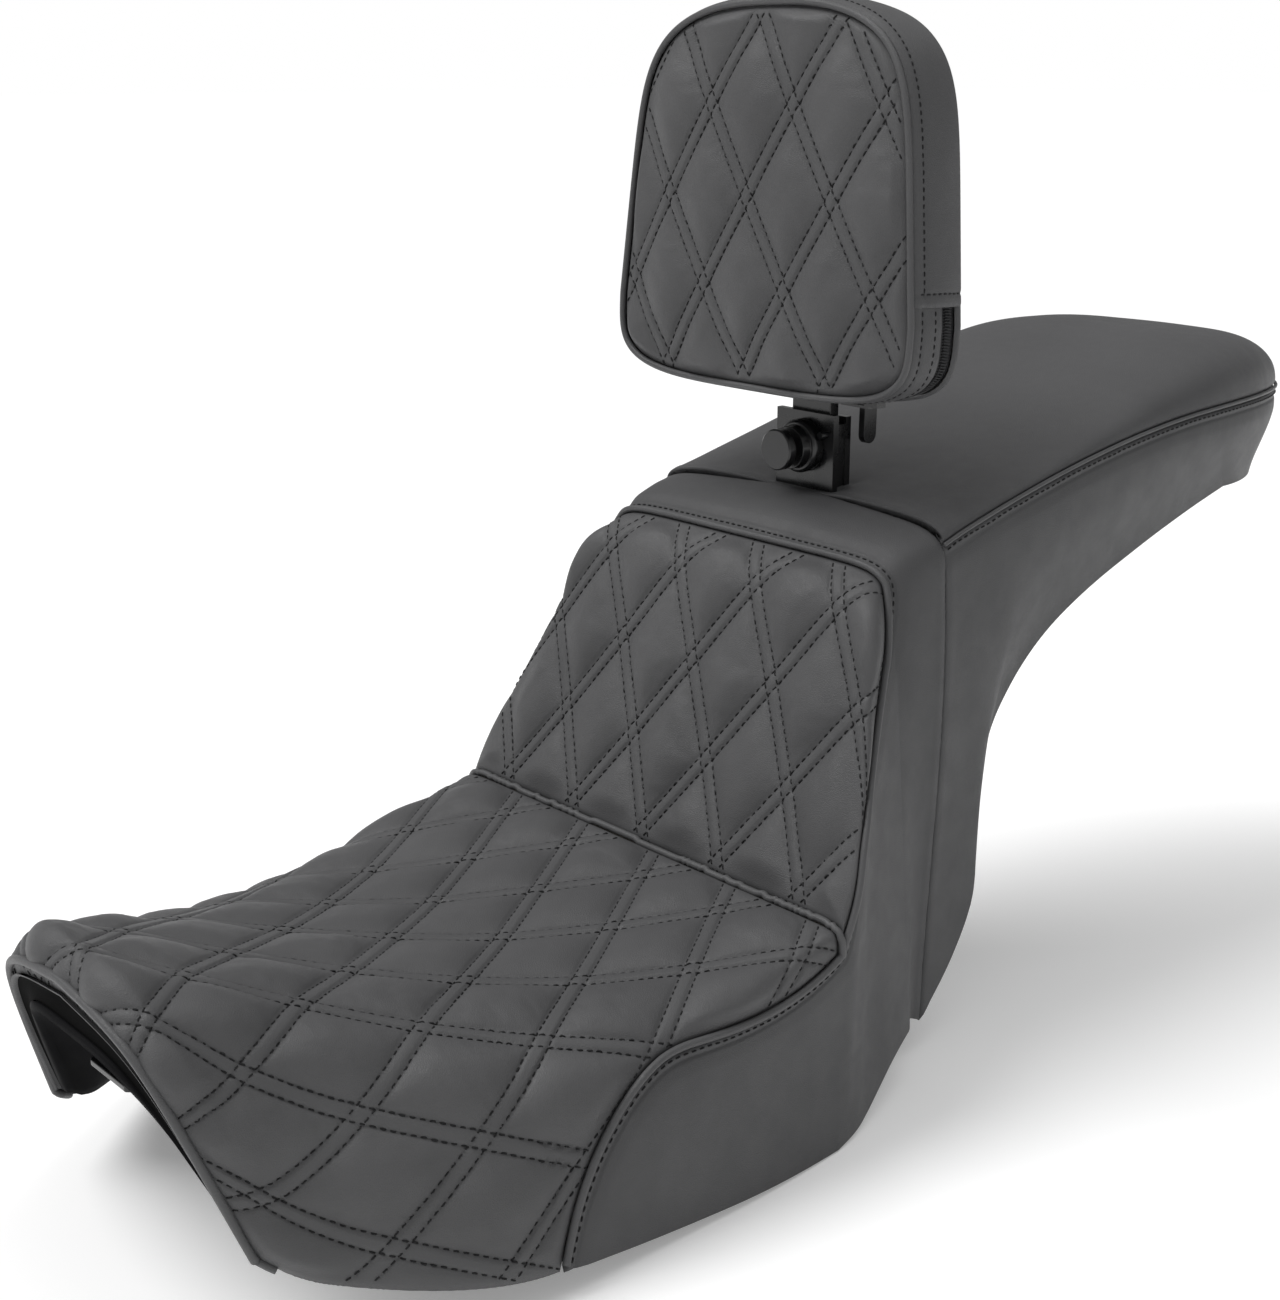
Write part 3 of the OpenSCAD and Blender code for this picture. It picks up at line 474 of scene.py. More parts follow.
def tube(name, line, radius, material, sides=12, loop=False, gap=2.0):
    """Round cord along a line."""
    line = even(line, gap)
    if loop:
        line = line[:-1]
        ahead = np.roll(line, -1, 0) - np.roll(line, 1, 0)
    else:
        ahead = np.gradient(line, axis=0)
    ahead = unit(ahead)
    side = unit(np.cross(ahead, [0.31, 0.17, 0.93]))
    for k in range(1, len(side)):
        side[k] = unit(side[k - 1] - ahead[k] * np.dot(side[k - 1], ahead[k]))
    other = np.cross(ahead, side)
    q = np.linspace(0, 360, sides, endpoint=False)
    c, s = cosd(q)[None, :, None], sind(q)[None, :, None]
    ring = line[:, None] + radius * (c * side[:, None] + s * other[:, None])
    faces = [list(f) for f in grid_faces(len(line), sides, loop=True)]
    if loop:
        turn = int(np.argmin(np.linalg.norm(ring[0] - ring[-1, 0], axis=1)))
        last = (len(line) - 1) * sides
        for k in range(sides):
            after = (k + 1) % sides
            faces.append([last + k, last + after, (after + turn) % sides, (k + turn) % sides])
    else:
        faces += [list(range(sides))[::-1], list(range((len(line) - 1) * sides, len(line) * sides))]
    return make_mesh(name, ring, faces, material)


def point_tree(points):
    tree = KDTree(len(points))
    for k, q in enumerate(points):
        tree.insert(q, k)
    tree.balance()
    return tree


def lines_distance(p, lines):
    """Distance from every grid point to the nearest of some lines."""
    tree = point_tree(np.concatenate([even(line, 0.8) for line in lines]))
    flat = p.reshape(-1, 3)
    return np.array([tree.find(q)[2] for q in flat]).reshape(p.shape[:-1])


# ---------- quilting ----------
def wave(u):
    """Signed distance to the nearest whole number."""
    return u - np.round(u)


def diamonds(across, down, spacing):
    """Distances in mm to the two families of stitch bands on a lattice, where bands lie at whole numbers."""
    return np.abs(wave(across + down / 2)) * spacing, np.abs(wave(across - down / 2)) * spacing


def quilt_height(d1, d2):
    """Padding: full in a diamond's middle, dropping into the stitches, and a flat band between two rows."""
    reach = 19.0

    def rise(d):
        return 1 - (1 - clamp((d - BAND_HALF) / reach)) ** 2.2

    puff = PUFF_H * rise(d1) * rise(d2)
    band = 0.9 * (1 - np.minimum(smooth((d1 - 2.4) / 1.6), smooth((d2 - 2.4) / 1.6)))
    crease = sum(bell(d, BAND_HALF, 0.95) for d in (d1, d2))
    return puff + band - 1.0 * clamp(crease, 0, 1.2)


CLOTH = {
    "quality": 6, "mass": 0.25, "tension_stiffness": 30, "compression_stiffness": 30, "shear_stiffness": 20,
    "bending_stiffness": 8, "tension_damping": 12, "compression_damping": 12, "air_damping": 2,
    "vertex_group_mass": "stitched", "use_pressure": True, "uniform_pressure_force": SIM_PRESSURE,
    "shrink_min": -0.008,
}  # fmt: skip


def puff_cloth(name, p, pinned):
    """The padded cover as simulated cloth: stitched points stay put and air pressure fills the rest.

    Returns how far each grid point has moved. The cover is cut a little large, as sewn padding is.
    """
    rows, cols = p.shape[:2]
    mesh = bpy.data.meshes.new(name)
    mesh.from_pydata((p.reshape(-1, 3) * 0.001).tolist(), [], grid_faces(rows, cols).tolist())
    obj = add_object(name, mesh)
    held = obj.vertex_groups.new(name="stitched")
    held.add([int(k) for k in np.flatnonzero(pinned.ravel())], 1.0, "REPLACE")
    cloth = obj.modifiers.new("cloth", "CLOTH")
    for key, value in CLOTH.items():
        setattr(cloth.settings, key, value)
    cloth.settings.effector_weights.gravity = 0.0
    cloth.collision_settings.use_collision = False
    cloth.point_cache.frame_start = 1
    cloth.point_cache.frame_end = SIM_FRAMES
    scene = bpy.context.scene
    for f in range(1, SIM_FRAMES + 1):
        scene.frame_set(f)
    shape = obj.evaluated_get(bpy.context.evaluated_depsgraph_get())
    moved = np.empty(rows * cols * 3)
    shape.data.vertices.foreach_get("co", moved)
    moved = moved.reshape(rows, cols, 3) * 1000 - p
    bpy.data.objects.remove(obj)
    scene.frame_set(1)
    length = np.linalg.norm(moved, axis=-1, keepdims=True)
    return moved * np.minimum(1, SIM_REACH / np.maximum(length, 1e-6))


def stretch_grid(d, shape):
    """d, a coarse grid of vectors, spread evenly over a finer grid."""
    for axis, n in enumerate(shape):
        x = np.linspace(0, d.shape[axis] - 1, n)
        k = np.minimum(x.astype(int), d.shape[axis] - 2)
        f = (x - k).reshape([-1 if a == axis else 1 for a in range(3)])
        f = f * f * (3 - 2 * f) * 0.35 + f * 0.65
        d = np.take(d, k, axis) * (1 - f) + np.take(d, k + 1, axis) * f
    return d


def quilted(p, d1, d2, edge, name, rim):
    """Displaces a panel's fine grid by its padding, part computed and part simulated, and rolls its edge."""
    n = grid_normals(p)
    analytic = quilt_height(d1, d2)
    fade = smooth((edge - 1.0) / rim)
    k = max(2, int(round(SIM_STEP / GRID_STEP)))
    rows = np.unique(np.append(np.arange(0, p.shape[0], k), p.shape[0] - 1))
    cols = np.unique(np.append(np.arange(0, p.shape[1], k), p.shape[1] - 1))
    pick = np.ix_(rows, cols)
    pinned = (np.minimum(d1[pick], d2[pick]) < BAND_HALF + 0.9) | (edge[pick] < 3.0)
    moved = stretch_grid(puff_cloth(name, p[pick], pinned), p.shape[:2])
    out = (moved * n).sum(-1)
    slide = moved - n * out[..., None]
    cover = 0.85 * analytic + 0.5 * clamp(out, 0, 5) * smooth(np.minimum(d1, d2) / (BAND_HALF + 6.0))
    p = p + (n * cover[..., None] + 0.3 * slide) * fade[..., None]
    return p - n * edge_roll(edge, 2.6, 4.5)[..., None]


def lattice_lines(p, across, down, offset, spacing, turn):
    """Polylines where across + turn * down / 2 is a whole number plus offset millimetres."""
    value = across + turn * down / 2
    lines = []
    for whole in range(math.floor(value.min()), math.ceil(value.max()) + 1):
        want = whole + offset / spacing
        line = []
        for row, v in zip(p, value):
            if v[0] < want < v[-1]:
                line.append([np.interp(want, v, row[:, k]) for k in range(3)])
            elif line:
                lines.append(line)
                line = []
        lines.append(line)
    return [np.array(line) for line in lines if len(line) > 3]


def tree_of(*grids):
    """Lookup of the nearest surface point and its outward normal."""
    points, faces = joined(grids)
    return BVHTree.FromPolygons(points.tolist(), faces.tolist())


def sew(name, lines, tree, body_name, slot="smooth_leather", length=STITCH_LEN, pitch=STITCH_PITCH, away=None):
    """Short threads along the lines, each dipping into the cover at both ends, but none where away says so."""
    sides = 6
    q = np.linspace(0, 360, sides, endpoint=False)
    along = np.array([-0.5, -0.34, 0.0, 0.34, 0.5])
    lift = np.array([-0.7, 0.15, 0.3, 0.15, -0.7])
    thick = np.array([0.35, 0.95, 1.0, 0.95, 0.35])
    rings = []
    for line in lines:
        path = even(line, pitch)
        mids, dirs = (path[1:] + path[:-1]) / 2, unit(path[1:] - path[:-1])
        for mid, ahead in zip(mids, dirs):
            hit, normal, _, _ = tree.find_nearest(Vector(mid))
            if hit is None or (away is not None and away(np.array(mid))):
                continue
            normal = np.array(normal)
            ahead = unit(ahead - normal * np.dot(ahead, normal))
            side = np.cross(ahead, normal)
            spine = np.array(hit) + ahead * (along * length)[:, None] + normal * (lift * THREAD_R * 2)[:, None]
            circle = cosd(q)[:, None] * side + sind(q)[:, None] * normal
            rings.append(spine[:, None] + circle[None] * (THREAD_R * thick)[:, None, None])
    points = np.concatenate([r.reshape(-1, 3) for r in rings])
    tube_faces = grid_faces(5, sides, loop=True)
    caps = [list(range(sides))[::-1], list(range(4 * sides, 5 * sides))]
    faces = []
    for k in range(len(rings)):
        base = k * 5 * sides
        faces += (tube_faces + base).tolist() + [[v + base for v in c] for c in caps]
    ride(make_mesh(name, points, faces, THREAD), body_name, slot)


def beside(line, tree, distance):
    """line moved sideways over the surface by distance, to the left of its direction, seen from outside."""
    line = even(line, 2.0)
    ahead = unit(np.gradient(line, axis=0))
    out = []
    for q, a in zip(line, ahead):
        _, n, _, _ = tree.find_nearest(Vector(q))
        aside = unit(np.cross(np.array(n), a)) * distance
        hit, _, _, _ = tree.find_nearest(Vector(q + aside))
        out.append(np.array(hit))
    return np.array(out)


# ---------- materials ----------
class Nodes:
    """Short forms for building a material's node tree."""

    def __init__(self, name):
        self.material = bpy.data.materials.new(name)
        self.material.use_nodes = True
        self.tree = self.material.node_tree
        self.shader = self.tree.nodes["Principled BSDF"]
        self.coords = self.add("ShaderNodeTexCoord").outputs["Object"]

    def add(self, kind, **values):
        n = self.tree.nodes.new(kind)
        for key, value in values.items():
            if key in n.inputs:
                n.inputs[key].default_value = value
            else:
                setattr(n, key, value)
        return n

    def join(self, a, b):
        self.tree.links.new(a, b)

    def noise(self, scale, detail=4.0, roughness=0.55):
        n = self.add("ShaderNodeTexNoise", Scale=scale, Detail=detail, Roughness=roughness)
        self.join(self.coords, n.inputs["Vector"])
        return n.outputs["Fac"]

    def cells(self, scale, feature="DISTANCE_TO_EDGE"):
        n = self.add("ShaderNodeTexVoronoi", feature=feature, Scale=scale)
        self.join(self.coords, n.inputs["Vector"])
        return n.outputs["Distance"]

    def remap(self, value, lo, hi, to_lo, to_hi):
        n = self.add("ShaderNodeMapRange")
        for key, v in zip(("From Min", "From Max", "To Min", "To Max"), (lo, hi, to_lo, to_hi)):
            n.inputs[key].default_value = v
        self.join(value, n.inputs["Value"])
        return n.outputs["Result"]

    def blend(self, fac, dark, light):
        n = self.add("ShaderNodeMix")
        n.data_type = "RGBA"
        n.inputs[6].default_value = (*dark, 1)
        n.inputs[7].default_value = (*light, 1)
        self.join(fac, n.inputs[0])
        return n.outputs[2]

    def colour(self, fac, dark, light):
        self.join(self.blend(fac, dark, light), self.shader.inputs["Base Color"])

    def bump(self, layers):
        """Chains bumps of (height, strength, distance in metres) into the normal."""
        last = None
        for height, strength, distance in layers:
            n = self.add("ShaderNodeBump", Strength=strength, Distance=distance)
            self.join(height, n.inputs["Height"])
            if last is not None:
                self.join(last, n.inputs["Normal"])
            last = n.outputs["Normal"]
        self.join(last, self.shader.inputs["Normal"])

    def set(self, **values):
        for key, value in values.items():
            self.shader.inputs[key.replace("_", " ")].default_value = value


def leather(name, dark, light, roughness=(0.42, 0.56)):
    """Fine-grained vinyl leather: pebbled cells, pores, long soft wrinkles and slight wear on colour."""
    m = Nodes(name)
    pebble = m.cells(1050.0)
    fine = m.noise(2600.0, 3.0)
    soft = m.noise(55.0, 5.0, 0.6)
    wear = m.noise(14.0, 3.0, 0.5)
    m.colour(m.remap(wear, 0.3, 0.7, 0.0, 1.0), dark, light)
    m.join(m.remap(soft, 0.3, 0.7, *roughness), m.shader.inputs["Roughness"])
    pebble = m.remap(pebble, 0.0, 0.25, 0.0, 1.0)
    m.bump([(soft, 0.25, 0.0012), (pebble, 0.5, 0.00018), (fine, 0.25, 0.00006)])
    m.set(Specular_IOR_Level=0.38, Sheen_Weight=0.03, Sheen_Roughness=0.45)
    return m.material


def thread(name):
    """Bonded polyester thread, twisted."""
    m = Nodes(name)
    twist = m.add("ShaderNodeTexWave", Scale=900.0, Distortion=1.5)
    m.join(m.coords, twist.inputs["Vector"])
    m.colour(twist.outputs["Fac"], (0.003, 0.003, 0.0032), (0.012, 0.012, 0.013))
    m.bump([(twist.outputs["Fac"], 0.5, 0.0001)])
    m.set(Roughness=0.6, Specular_IOR_Level=0.3)
    return m.material


def painted(name, base, roughness):
    """Satin powder coat with a light orange peel and dust in its roughness."""
    m = Nodes(name)
    peel = m.noise(420.0, 2.0)
    dust = m.noise(30.0, 6.0, 0.65)
    m.colour(m.remap(dust, 0.35, 0.7, 0, 1), base, tuple(c * 1.6 for c in base))
    m.join(m.remap(dust, 0.3, 0.7, roughness - 0.06, roughness + 0.1), m.shader.inputs["Roughness"])
    m.bump([(peel, 0.12, 0.0003)])
    m.set(Coat_Weight=0.3, Coat_Roughness=0.2, Specular_IOR_Level=0.4)
    return m.material


def plated(name, base):
    """Zinc plated steel, faintly brushed and spotted."""
    m = Nodes(name)
    brush = m.noise(900.0, 2.0)
    cloud = m.noise(120.0, 5.0)
    m.colour(m.remap(cloud, 0.3, 0.7, 0, 1), tuple(c * 0.72 for c in base), base)
    m.join(m.remap(brush, 0.3, 0.7, 0.24, 0.42), m.shader.inputs["Roughness"])
    m.bump([(brush, 0.15, 0.0001)])
    m.set(Metallic=1.0)
    return m.material


def moulded(name, base, roughness=0.55, texture=700.0, strength=0.3, specular=0.4):
    """Moulded plastic or rubber with a sandy texture."""
    m = Nodes(name)
    sand = m.noise(texture, 3.0)
    cloud = m.noise(25.0, 4.0)
    m.colour(cloud, base, tuple(c * 1.7 for c in base))
    m.join(m.remap(cloud, 0.3, 0.7, roughness - 0.08, roughness + 0.08), m.shader.inputs["Roughness"])
    m.bump([(sand, strength, 0.0002)])
    m.set(Specular_IOR_Level=specular)
    return m.material


def foam_material(name):
    """Open-cell moulded foam."""
    m = Nodes(name)
    cells = m.cells(1500.0, "F1")
    cloud = m.noise(40.0, 4.0)
    m.colour(cloud, (0.20, 0.19, 0.17), (0.32, 0.30, 0.26))
    m.bump([(cells, 0.8, 0.0004)])
    m.set(Roughness=0.95)
    return m.material


def plywood(name):
    m = Nodes(name)
    rings = m.add("ShaderNodeTexWave", Scale=26.0, Distortion=7.0, Detail=3.0)
    m.join(m.coords, rings.inputs["Vector"])
    m.colour(rings.outputs["Fac"], (0.38, 0.25, 0.13), (0.58, 0.42, 0.25))
    m.bump([(rings.outputs["Fac"], 0.15, 0.0002)])
    m.set(Roughness=0.7)
    return m.material


QUILT = leather("quilted_leather", (0.066, 0.066, 0.068), (0.078, 0.078, 0.080))
PLAIN = leather("smooth_leather", (0.056, 0.056, 0.058), (0.064, 0.064, 0.066), roughness=(0.46, 0.6))
CORD = leather("piping_leather", (0.066, 0.066, 0.068), (0.08, 0.08, 0.082), roughness=(0.38, 0.5))
THREAD = thread("thread")
STEEL = painted("black_steel", (0.0045, 0.0045, 0.005), roughness=0.27)
ZINC = plated("zinc", (0.56, 0.57, 0.59))
PAN = moulded("pan_plastic", (0.0035, 0.0035, 0.004), roughness=0.7, specular=0.08)
# Nose lining: a black underside, kept near-black and very matte as painted shade for the hollow inside the
# nose.
LINING_AND_SHADE = moulded("nose_lining_and_shade", (0.003, 0.003, 0.003), roughness=0.9, texture=1500.0, specular=0.05)
RUBBER = moulded("rubber", (0.014, 0.014, 0.014), roughness=0.75, texture=1200.0)
NYLON = moulded("zip_nylon", (0.010, 0.010, 0.011), roughness=0.5, texture=2000.0, strength=0.5)
FOAM = foam_material("foam")
PLY = plywood("plywood")


def ride(obj, body_name, slot_name, *nodes):
    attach(obj, body_name)
    if nodes:
        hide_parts(*nodes)
    return obj


# ---------- rider, lumbar and surround ----------
def spread(a, b, length):
    """Values from a to b, as many as grid steps fit in length mm."""
    return np.linspace(a, b, int(length / GRID_STEP) + 1)


def row_arc(p):
    """Distance across each row of a grid, measured from its middle column."""
    run = run_along(p.swapaxes(0, 1)).T
    return run - run[:, [p.shape[1] // 2]]


def centred(rows, half, length):
    """Grid of s and t with each row spanning -half(s)..half(s), columns even along the section."""
    n = 2 * int(length / GRID_STEP / 2) + 1
    q = np.linspace(-1, 1, 241)
    cols = []
    for s, h in zip(rows, half):
        run = run_along(body(s, q * h))
        cols.append(np.interp(np.linspace(0, run[-1], n), run, q) * h)
    return body(rows[:, None], np.array(cols))


def welt_line(s0, s1):
    s = np.linspace(s0, s1, 160)
    return body(s, welt_t(s))


def cross_line(s, n):
    """The line across the seat at s, from welt to welt."""
    return body(s, np.linspace(1, -1, n) * welt_t(np.array([s]))[0])


WELT_START = 0.463  # where the side welt leaves the foot of the flank
MIRROR = np.array([-1.0, 1.0, 1.0])
side_welt = welt_line(WELT_START, 1.0)
lumbar_side = welt_line(1.0, 2.0)
lumbar_top = cross_line(2.0, 60)
junction = cross_line(1.0, 80)


def carry_to_rim(p, rows, value):
    """Carries value on over the rounded nose, along each column, at the slope it has behind it."""
    run = run_along(p)
    a, b = np.searchsorted(rows, [0.05, 0.11])
    slope = (value[b] - value[a]) / (run[b] - run[a])
    value[:a] = value[a] + slope * (run[:a] - run[a])


def build_rider():
    rows = np.concatenate([spread(0.0, 0.06, 30), spread(0.06, 1.0, 330)[1:]])
    p = centred(rows, welt_t(rows), 420)
    down = np.interp(-p[..., 1], [-y for y, _ in SEAT_ROWS], [r for _, r in SEAT_ROWS])
    arc = row_arc(p)
    ahead = clamp(-259 - p[..., 1], 0, 200)
    down += (5 + ahead / 46 - down) * (ahead > 0) * smooth((np.abs(arc) - 70) / 70)
    across = arc / DIAMOND_W + 0.5
    carry_to_rim(p, rows, down)
    carry_to_rim(p, rows, across)
    ahead_of_welt = p[rows < WELT_START]
    feet = [ahead_of_welt[:, 0], ahead_of_welt[:, -1]]
    edge = lines_distance(p, [p[0], side_welt, side_welt * MIRROR, junction] + feet)
    quilted_cover("rider_panel", "seat", p, across, down, (DIAMOND_W, NOSE_ROW_H), edge, rim=10.0)


def quilted_cover(node, body_name, p, across, down, diamond, edge, rim=7.0):
    """A quilted cover for a CAD piece, with both rows of stitching of every band, kept off its rim."""
    spacing = diamond[0] * diamond[1] / math.hypot(*diamond)
    d1, d2 = diamonds(across, down, spacing)
    part = node.split("_")[0]
    q = quilted(p, d1, d2, edge, part + "_sim", rim)
    ride(sheet(node + "_cover", q, QUILT), body_name, "quilted_leather", node)
    lines = []
    for turn in (1, -1):
        for offset in (-BAND_HALF, BAND_HALF):
            lines += lattice_lines(q, across, down, offset, spacing, turn)
    edge_points = point_tree(q[edge < 1.4].reshape(-1, 3))
    stitched = part + "_stitching"
    sew(stitched, lines, tree_of(q), body_name, "quilted_leather", away=lambda v: edge_points.find(v)[2] < 1.2)


def build_lumbar():
    rows = spread(1.0, 2.0, 190)
    p = centred(rows, welt_t(rows), 300)
    run = run_along(p[:, p.shape[1] // 2])
    down = np.repeat(((run - 7.0) / ROW_PITCH)[:, None], p.shape[1], 1)
    across = row_arc(p) / DIAMOND_W
    edge = lines_distance(p, [lumbar_side, lumbar_side * MIRROR, lumbar_top, junction])
    quilted_cover("lumbar_panel", "seat", p, across, down, (DIAMOND_W, 2 * ROW_PITCH), edge, rim=17.0)


def soft_wrinkles(p, amount, seed):
    """Slight unevenness of stretched cover over foam, from a few crossing waves."""
    rng = np.random.default_rng(seed)
    h = np.zeros(p.shape[:-1])
    for _ in range(9):
        k = rng.normal(size=3)
        k /= np.linalg.norm(k)
        wavelength = rng.uniform(38, 120)
        h += np.sin(2 * math.pi * (p @ k) / wavelength + rng.uniform(0, 6.28)) * rng.uniform(0.4, 1.0)
    return amount * h / 3


def hemmed(p, first=False, last=False):
    """A grid with its first or last row turned under."""
    n = grid_normals(p)
    rows = [p]
    if first:
        rows.insert(0, np.stack([p[0] - n[0] * 7.0, p[0] - n[0] * 1.5]))
    if last:
        rows.append(np.stack([p[-1] - n[-1] * 1.5, p[-1] - n[-1] * 7.0]))
    return np.concatenate(rows)


def seam_roll(d):
    """How far a cover dips at d from a plain seam."""
    return 0.3 * bell(d, 4.5, 2.5) - edge_roll(d, 0.8, 1.8)


def plain_panel(p, welts, seams, seed):
    """Smooth panel: rolled into its welts and seams, with a flat band and a stitch groove beside a welt."""
    n = grid_normals(p)
    from_welt = lines_distance(p, welts)
    from_seam = lines_distance(p, welts + seams)
    h = soft_wrinkles(p, 0.35, seed) * smooth((from_seam - 8) / 20)
    h -= edge_roll(from_welt, 2.6, 3.5)
    h += seam_roll(lines_distance(p, seams)) * smooth(from_welt / 4)
    h -= 0.7 * bell(from_welt, TOPSTITCH_AT, 1.1)
    h += 0.9 * smooth((from_welt - TOPSTITCH_AT) / 9.0)
    return p + n * h[..., None]


def build_surround():
    start = WELT_START - 0.004
    rows = np.concatenate([spread(start, 1.0, 190), spread(1.0, 1.75, 130)[1:], spread(1.75, 2.0, 80)[1:]])
    edge_t = np.minimum(welt_t(rows), 0.9995)
    n = int(150 / GRID_STEP)
    q = np.linspace(0, 1, n)
    t = edge_t[:, None] + (1 - edge_t)[:, None] * q[None]
    flank = body(rows[:, None], t)
    side_t = edge_t[-1]
    outer = side_t + (1 - side_t) * q
    cols = np.concatenate([-outer[::-1], spread(-side_t, side_t, 190)[1:-1], outer])
    over = body(spread(2.0, 3.0, 52)[:, None], cols[None])
    welts = [side_welt, side_welt * MIRROR, lumbar_side, lumbar_side * MIRROR, lumbar_top]
    seams = [over[-1]]
    shaped = [plain_panel(flank, welts, seams, 3), plain_panel((flank * MIRROR)[:, ::-1], welts, seams, 5)]
    shaped.append(hemmed(plain_panel(over, welts, seams, 3), last=True))
    obj = make_mesh("surround_panel_cover", *joined(shaped), PLAIN, weld=0.12)
    ride(obj, "seat", "smooth_leather", "surround_panel")
    tree = tree_of(*shaped)
    far_side = [(lumbar_side * MIRROR)[::-1], (side_welt * MIRROR)[::-1][1:]]
    path = np.concatenate([side_welt, lumbar_side[1:], lumbar_top[1:-1]] + far_side)
    rows = [beside(path, tree, -TOPSTITCH_AT)]
    sew("surround_stitching", rows, tree, "seat")
    return path


def build_pillion():
    rows = np.concatenate([spread(0.0, 1.0, 238), spread(1.0, 2.0, 240)[1:]])
    q = np.linspace(-1, 1, 2 * int(120 / GRID_STEP) + 1)
    t = 0.5 * sind(90 * q)
    top = pillion(rows[:, None], t[None])
    half = pillion(rows, 0.5)
    welt = np.concatenate([half, (half * MIRROR)[::-1][1:]])
    slot = [(-22, 118), (22, 118), (22, 135), (-22, 135), (-22, 118)]  # the post's slot, seen from above
    slot_line = np.array([(x, y, 0) for x, y in slot], float)
    n = grid_normals(top)
    n[-1, :, 0] = 0
    from_welt = lines_distance(top, [welt])
    from_seam = lines_distance(top, [top[0]])
    from_slot = lines_distance(top * [1, 1, 0], [slot_line])
    h = soft_wrinkles(top, 0.4, 8) * smooth((from_welt - 8) / 25)
    h[-1] = (h[-1] + h[-1, ::-1]) / 2
    h += seam_roll(from_seam) - edge_roll(from_welt, 1.7, 4.0)
    h -= 2.5 * np.exp(-from_slot / 5.0)
    top = top + unit(n) * h[..., None]
    top[-1, :, 0] = 0
    top = hemmed(top, first=True)
    ride(sheet("pillion_top_cover", top, PLAIN, weld=0.05), "seat", "smooth_leather", "pillion_top")

    around = np.concatenate([rows, (4 - rows)[::-1][1:]])
    u = np.linspace(0.5, 1.0, int(190 / GRID_STEP))
    v = np.where(around <= 2, around, 4 - around)
    side = np.where(around <= 2, 1.0, -1.0)
    flank = pillion(v[:, None], u[None])
    flank = flank * np.stack([side, np.ones_like(side), np.ones_like(side)], -1)[:, None]
    flank = plain_panel(flank, [welt], [flank[0], flank[-1]], 12)
    side_cover = sheet("pillion_side_cover", hemmed(flank, first=True, last=True), PLAIN)
    ride(side_cover, "seat", "smooth_leather", "pillion_side_panel")
    tree = tree_of(flank)
    row = beside(welt, tree, -TOPSTITCH_AT)
    sew("pillion_stitching", [row], tree, "seat")
    lift = vec(cosd(tail_angle(v)) * side, sind(tail_angle(v)), 0)
    build_cord("pillion_piping", welt + lift * 0.5, THIN_PIPING_R)


def build_cord(node, line, radius):
    ride(tube(node + "_cord", line, radius, CORD), "seat", "smooth_leather", node)


def surface_cord(line, tree, lift):
    """line lifted off a surface along its normal."""
    out = []
    for q in even(line, 2.0):
        _, n, _, _ = tree.find_nearest(Vector(q))
        out.append(q + np.array(n) * lift)
    return np.array(out)


def build_piping(surround_path):
    base = tree_of(body(np.linspace(0, 3, 301)[:, None], np.linspace(-1, 1, 121)[None]))
    build_cord("surround_piping", surface_cord(surround_path, base, 0.9), PIPING_R)
    build_cord("junction_piping", surface_cord(junction, base, 1.1), PIPING_R)
    turned = body(np.linspace(0.02, NOSE_CORD_S, 8), 1.0) + [-3.4, 0, 2.4]  # its end, turned in under the foot
    along = body(NOSE_CORD_S, np.linspace(-1, 1, 200))[1:-1]
    nose_line = np.concatenate([turned * MIRROR, along, turned[::-1]]) + [0, -1.0, -1.0]
    build_cord("nose_piping", nose_line, PIPING_R + 0.3)


build_rider()
build_lumbar()
welts_path = build_surround()
build_pillion()
build_piping(welts_path)


# ---------- inside: foam and pan ----------
def build_hem():
    """The cover's edge turned under along the nose, and the dark lining from there to the pan: a black
    underside, made near-black and very matte so that it is also painted shade inside the nose hollow.
    """
    t = np.linspace(-1, 1, 241)
    edge = body(0 * t, t)
    pan = body_pan(0 * t, t)
    inward = unit(pan - edge)
    back = np.array([0.0, 1.0, 0.0])
    fold = ((0.3, 0.2), (1.0, 0.2), (1.7, 0.8), (2.1, 1.8), (2.3, 3.4))  # inward and back from the edge
    lip = [edge + inward * a + back * b for a, b in fold]
    ride(sheet("nose_lip", np.array(lip), PLAIN), "seat", "smooth_leather")
    lining = [edge + inward * 1.7 + back * 2.2, edge * 0.5 + pan * 0.5 + back * 3.4, pan + back * 1.2]
    # The lining's near-black colour is partly its own black and partly painted shade inside the nose hollow.
    ride(sheet("nose_lining_and_shade", np.array(lining), LINING_AND_SHADE), "seat", "pan_plastic")


def build_inside():
    t = np.linspace(-0.95, 0.95, 61)
    s = np.linspace(0.03, 2.9, 150)[:, None]
    over, under = body(s, t), body_pan(s, t)
    over -= grid_normals(over) * FOAM_GAP
    foam = solid("rider_foam_block", over, under + grid_normals(under) * FOAM_PRESS, FOAM)
    ride(foam, "seat", "foam", "rider_foam")
    v = np.linspace(0.045, 2, 90)[:, None]
    over, under = pillion(v, t), pillion_pan(v, t)
    over -= grid_normals(over) * FOAM_GAP
    under += grid_normals(under) * FOAM_PRESS
    over[-1, :, 0] = 0
    under[-1, :, 0] = 0
    foam = solid("pillion_foam_block", over, under, FOAM, weld=0.05, open_end=True)
    ride(foam, "seat", "foam", "pillion_foam")
    t = np.linspace(-1, 1, 101)
    s, v = np.linspace(0, 3, 170)[:, None], np.linspace(0.03, 2, 110)[:, None]
    pan = np.concatenate([body_pan(s, t), pillion_pan(v, t)])
    low = pan - grid_normals(pan) * PAN_T
    low[-1, :, 0] = 0
    base = solid("base_pan_shell", pan, low, PAN, weld=0.05, open_end=True)
    ride(base, "seat", "pan_plastic", "base_pan")


build_hem()
build_inside()


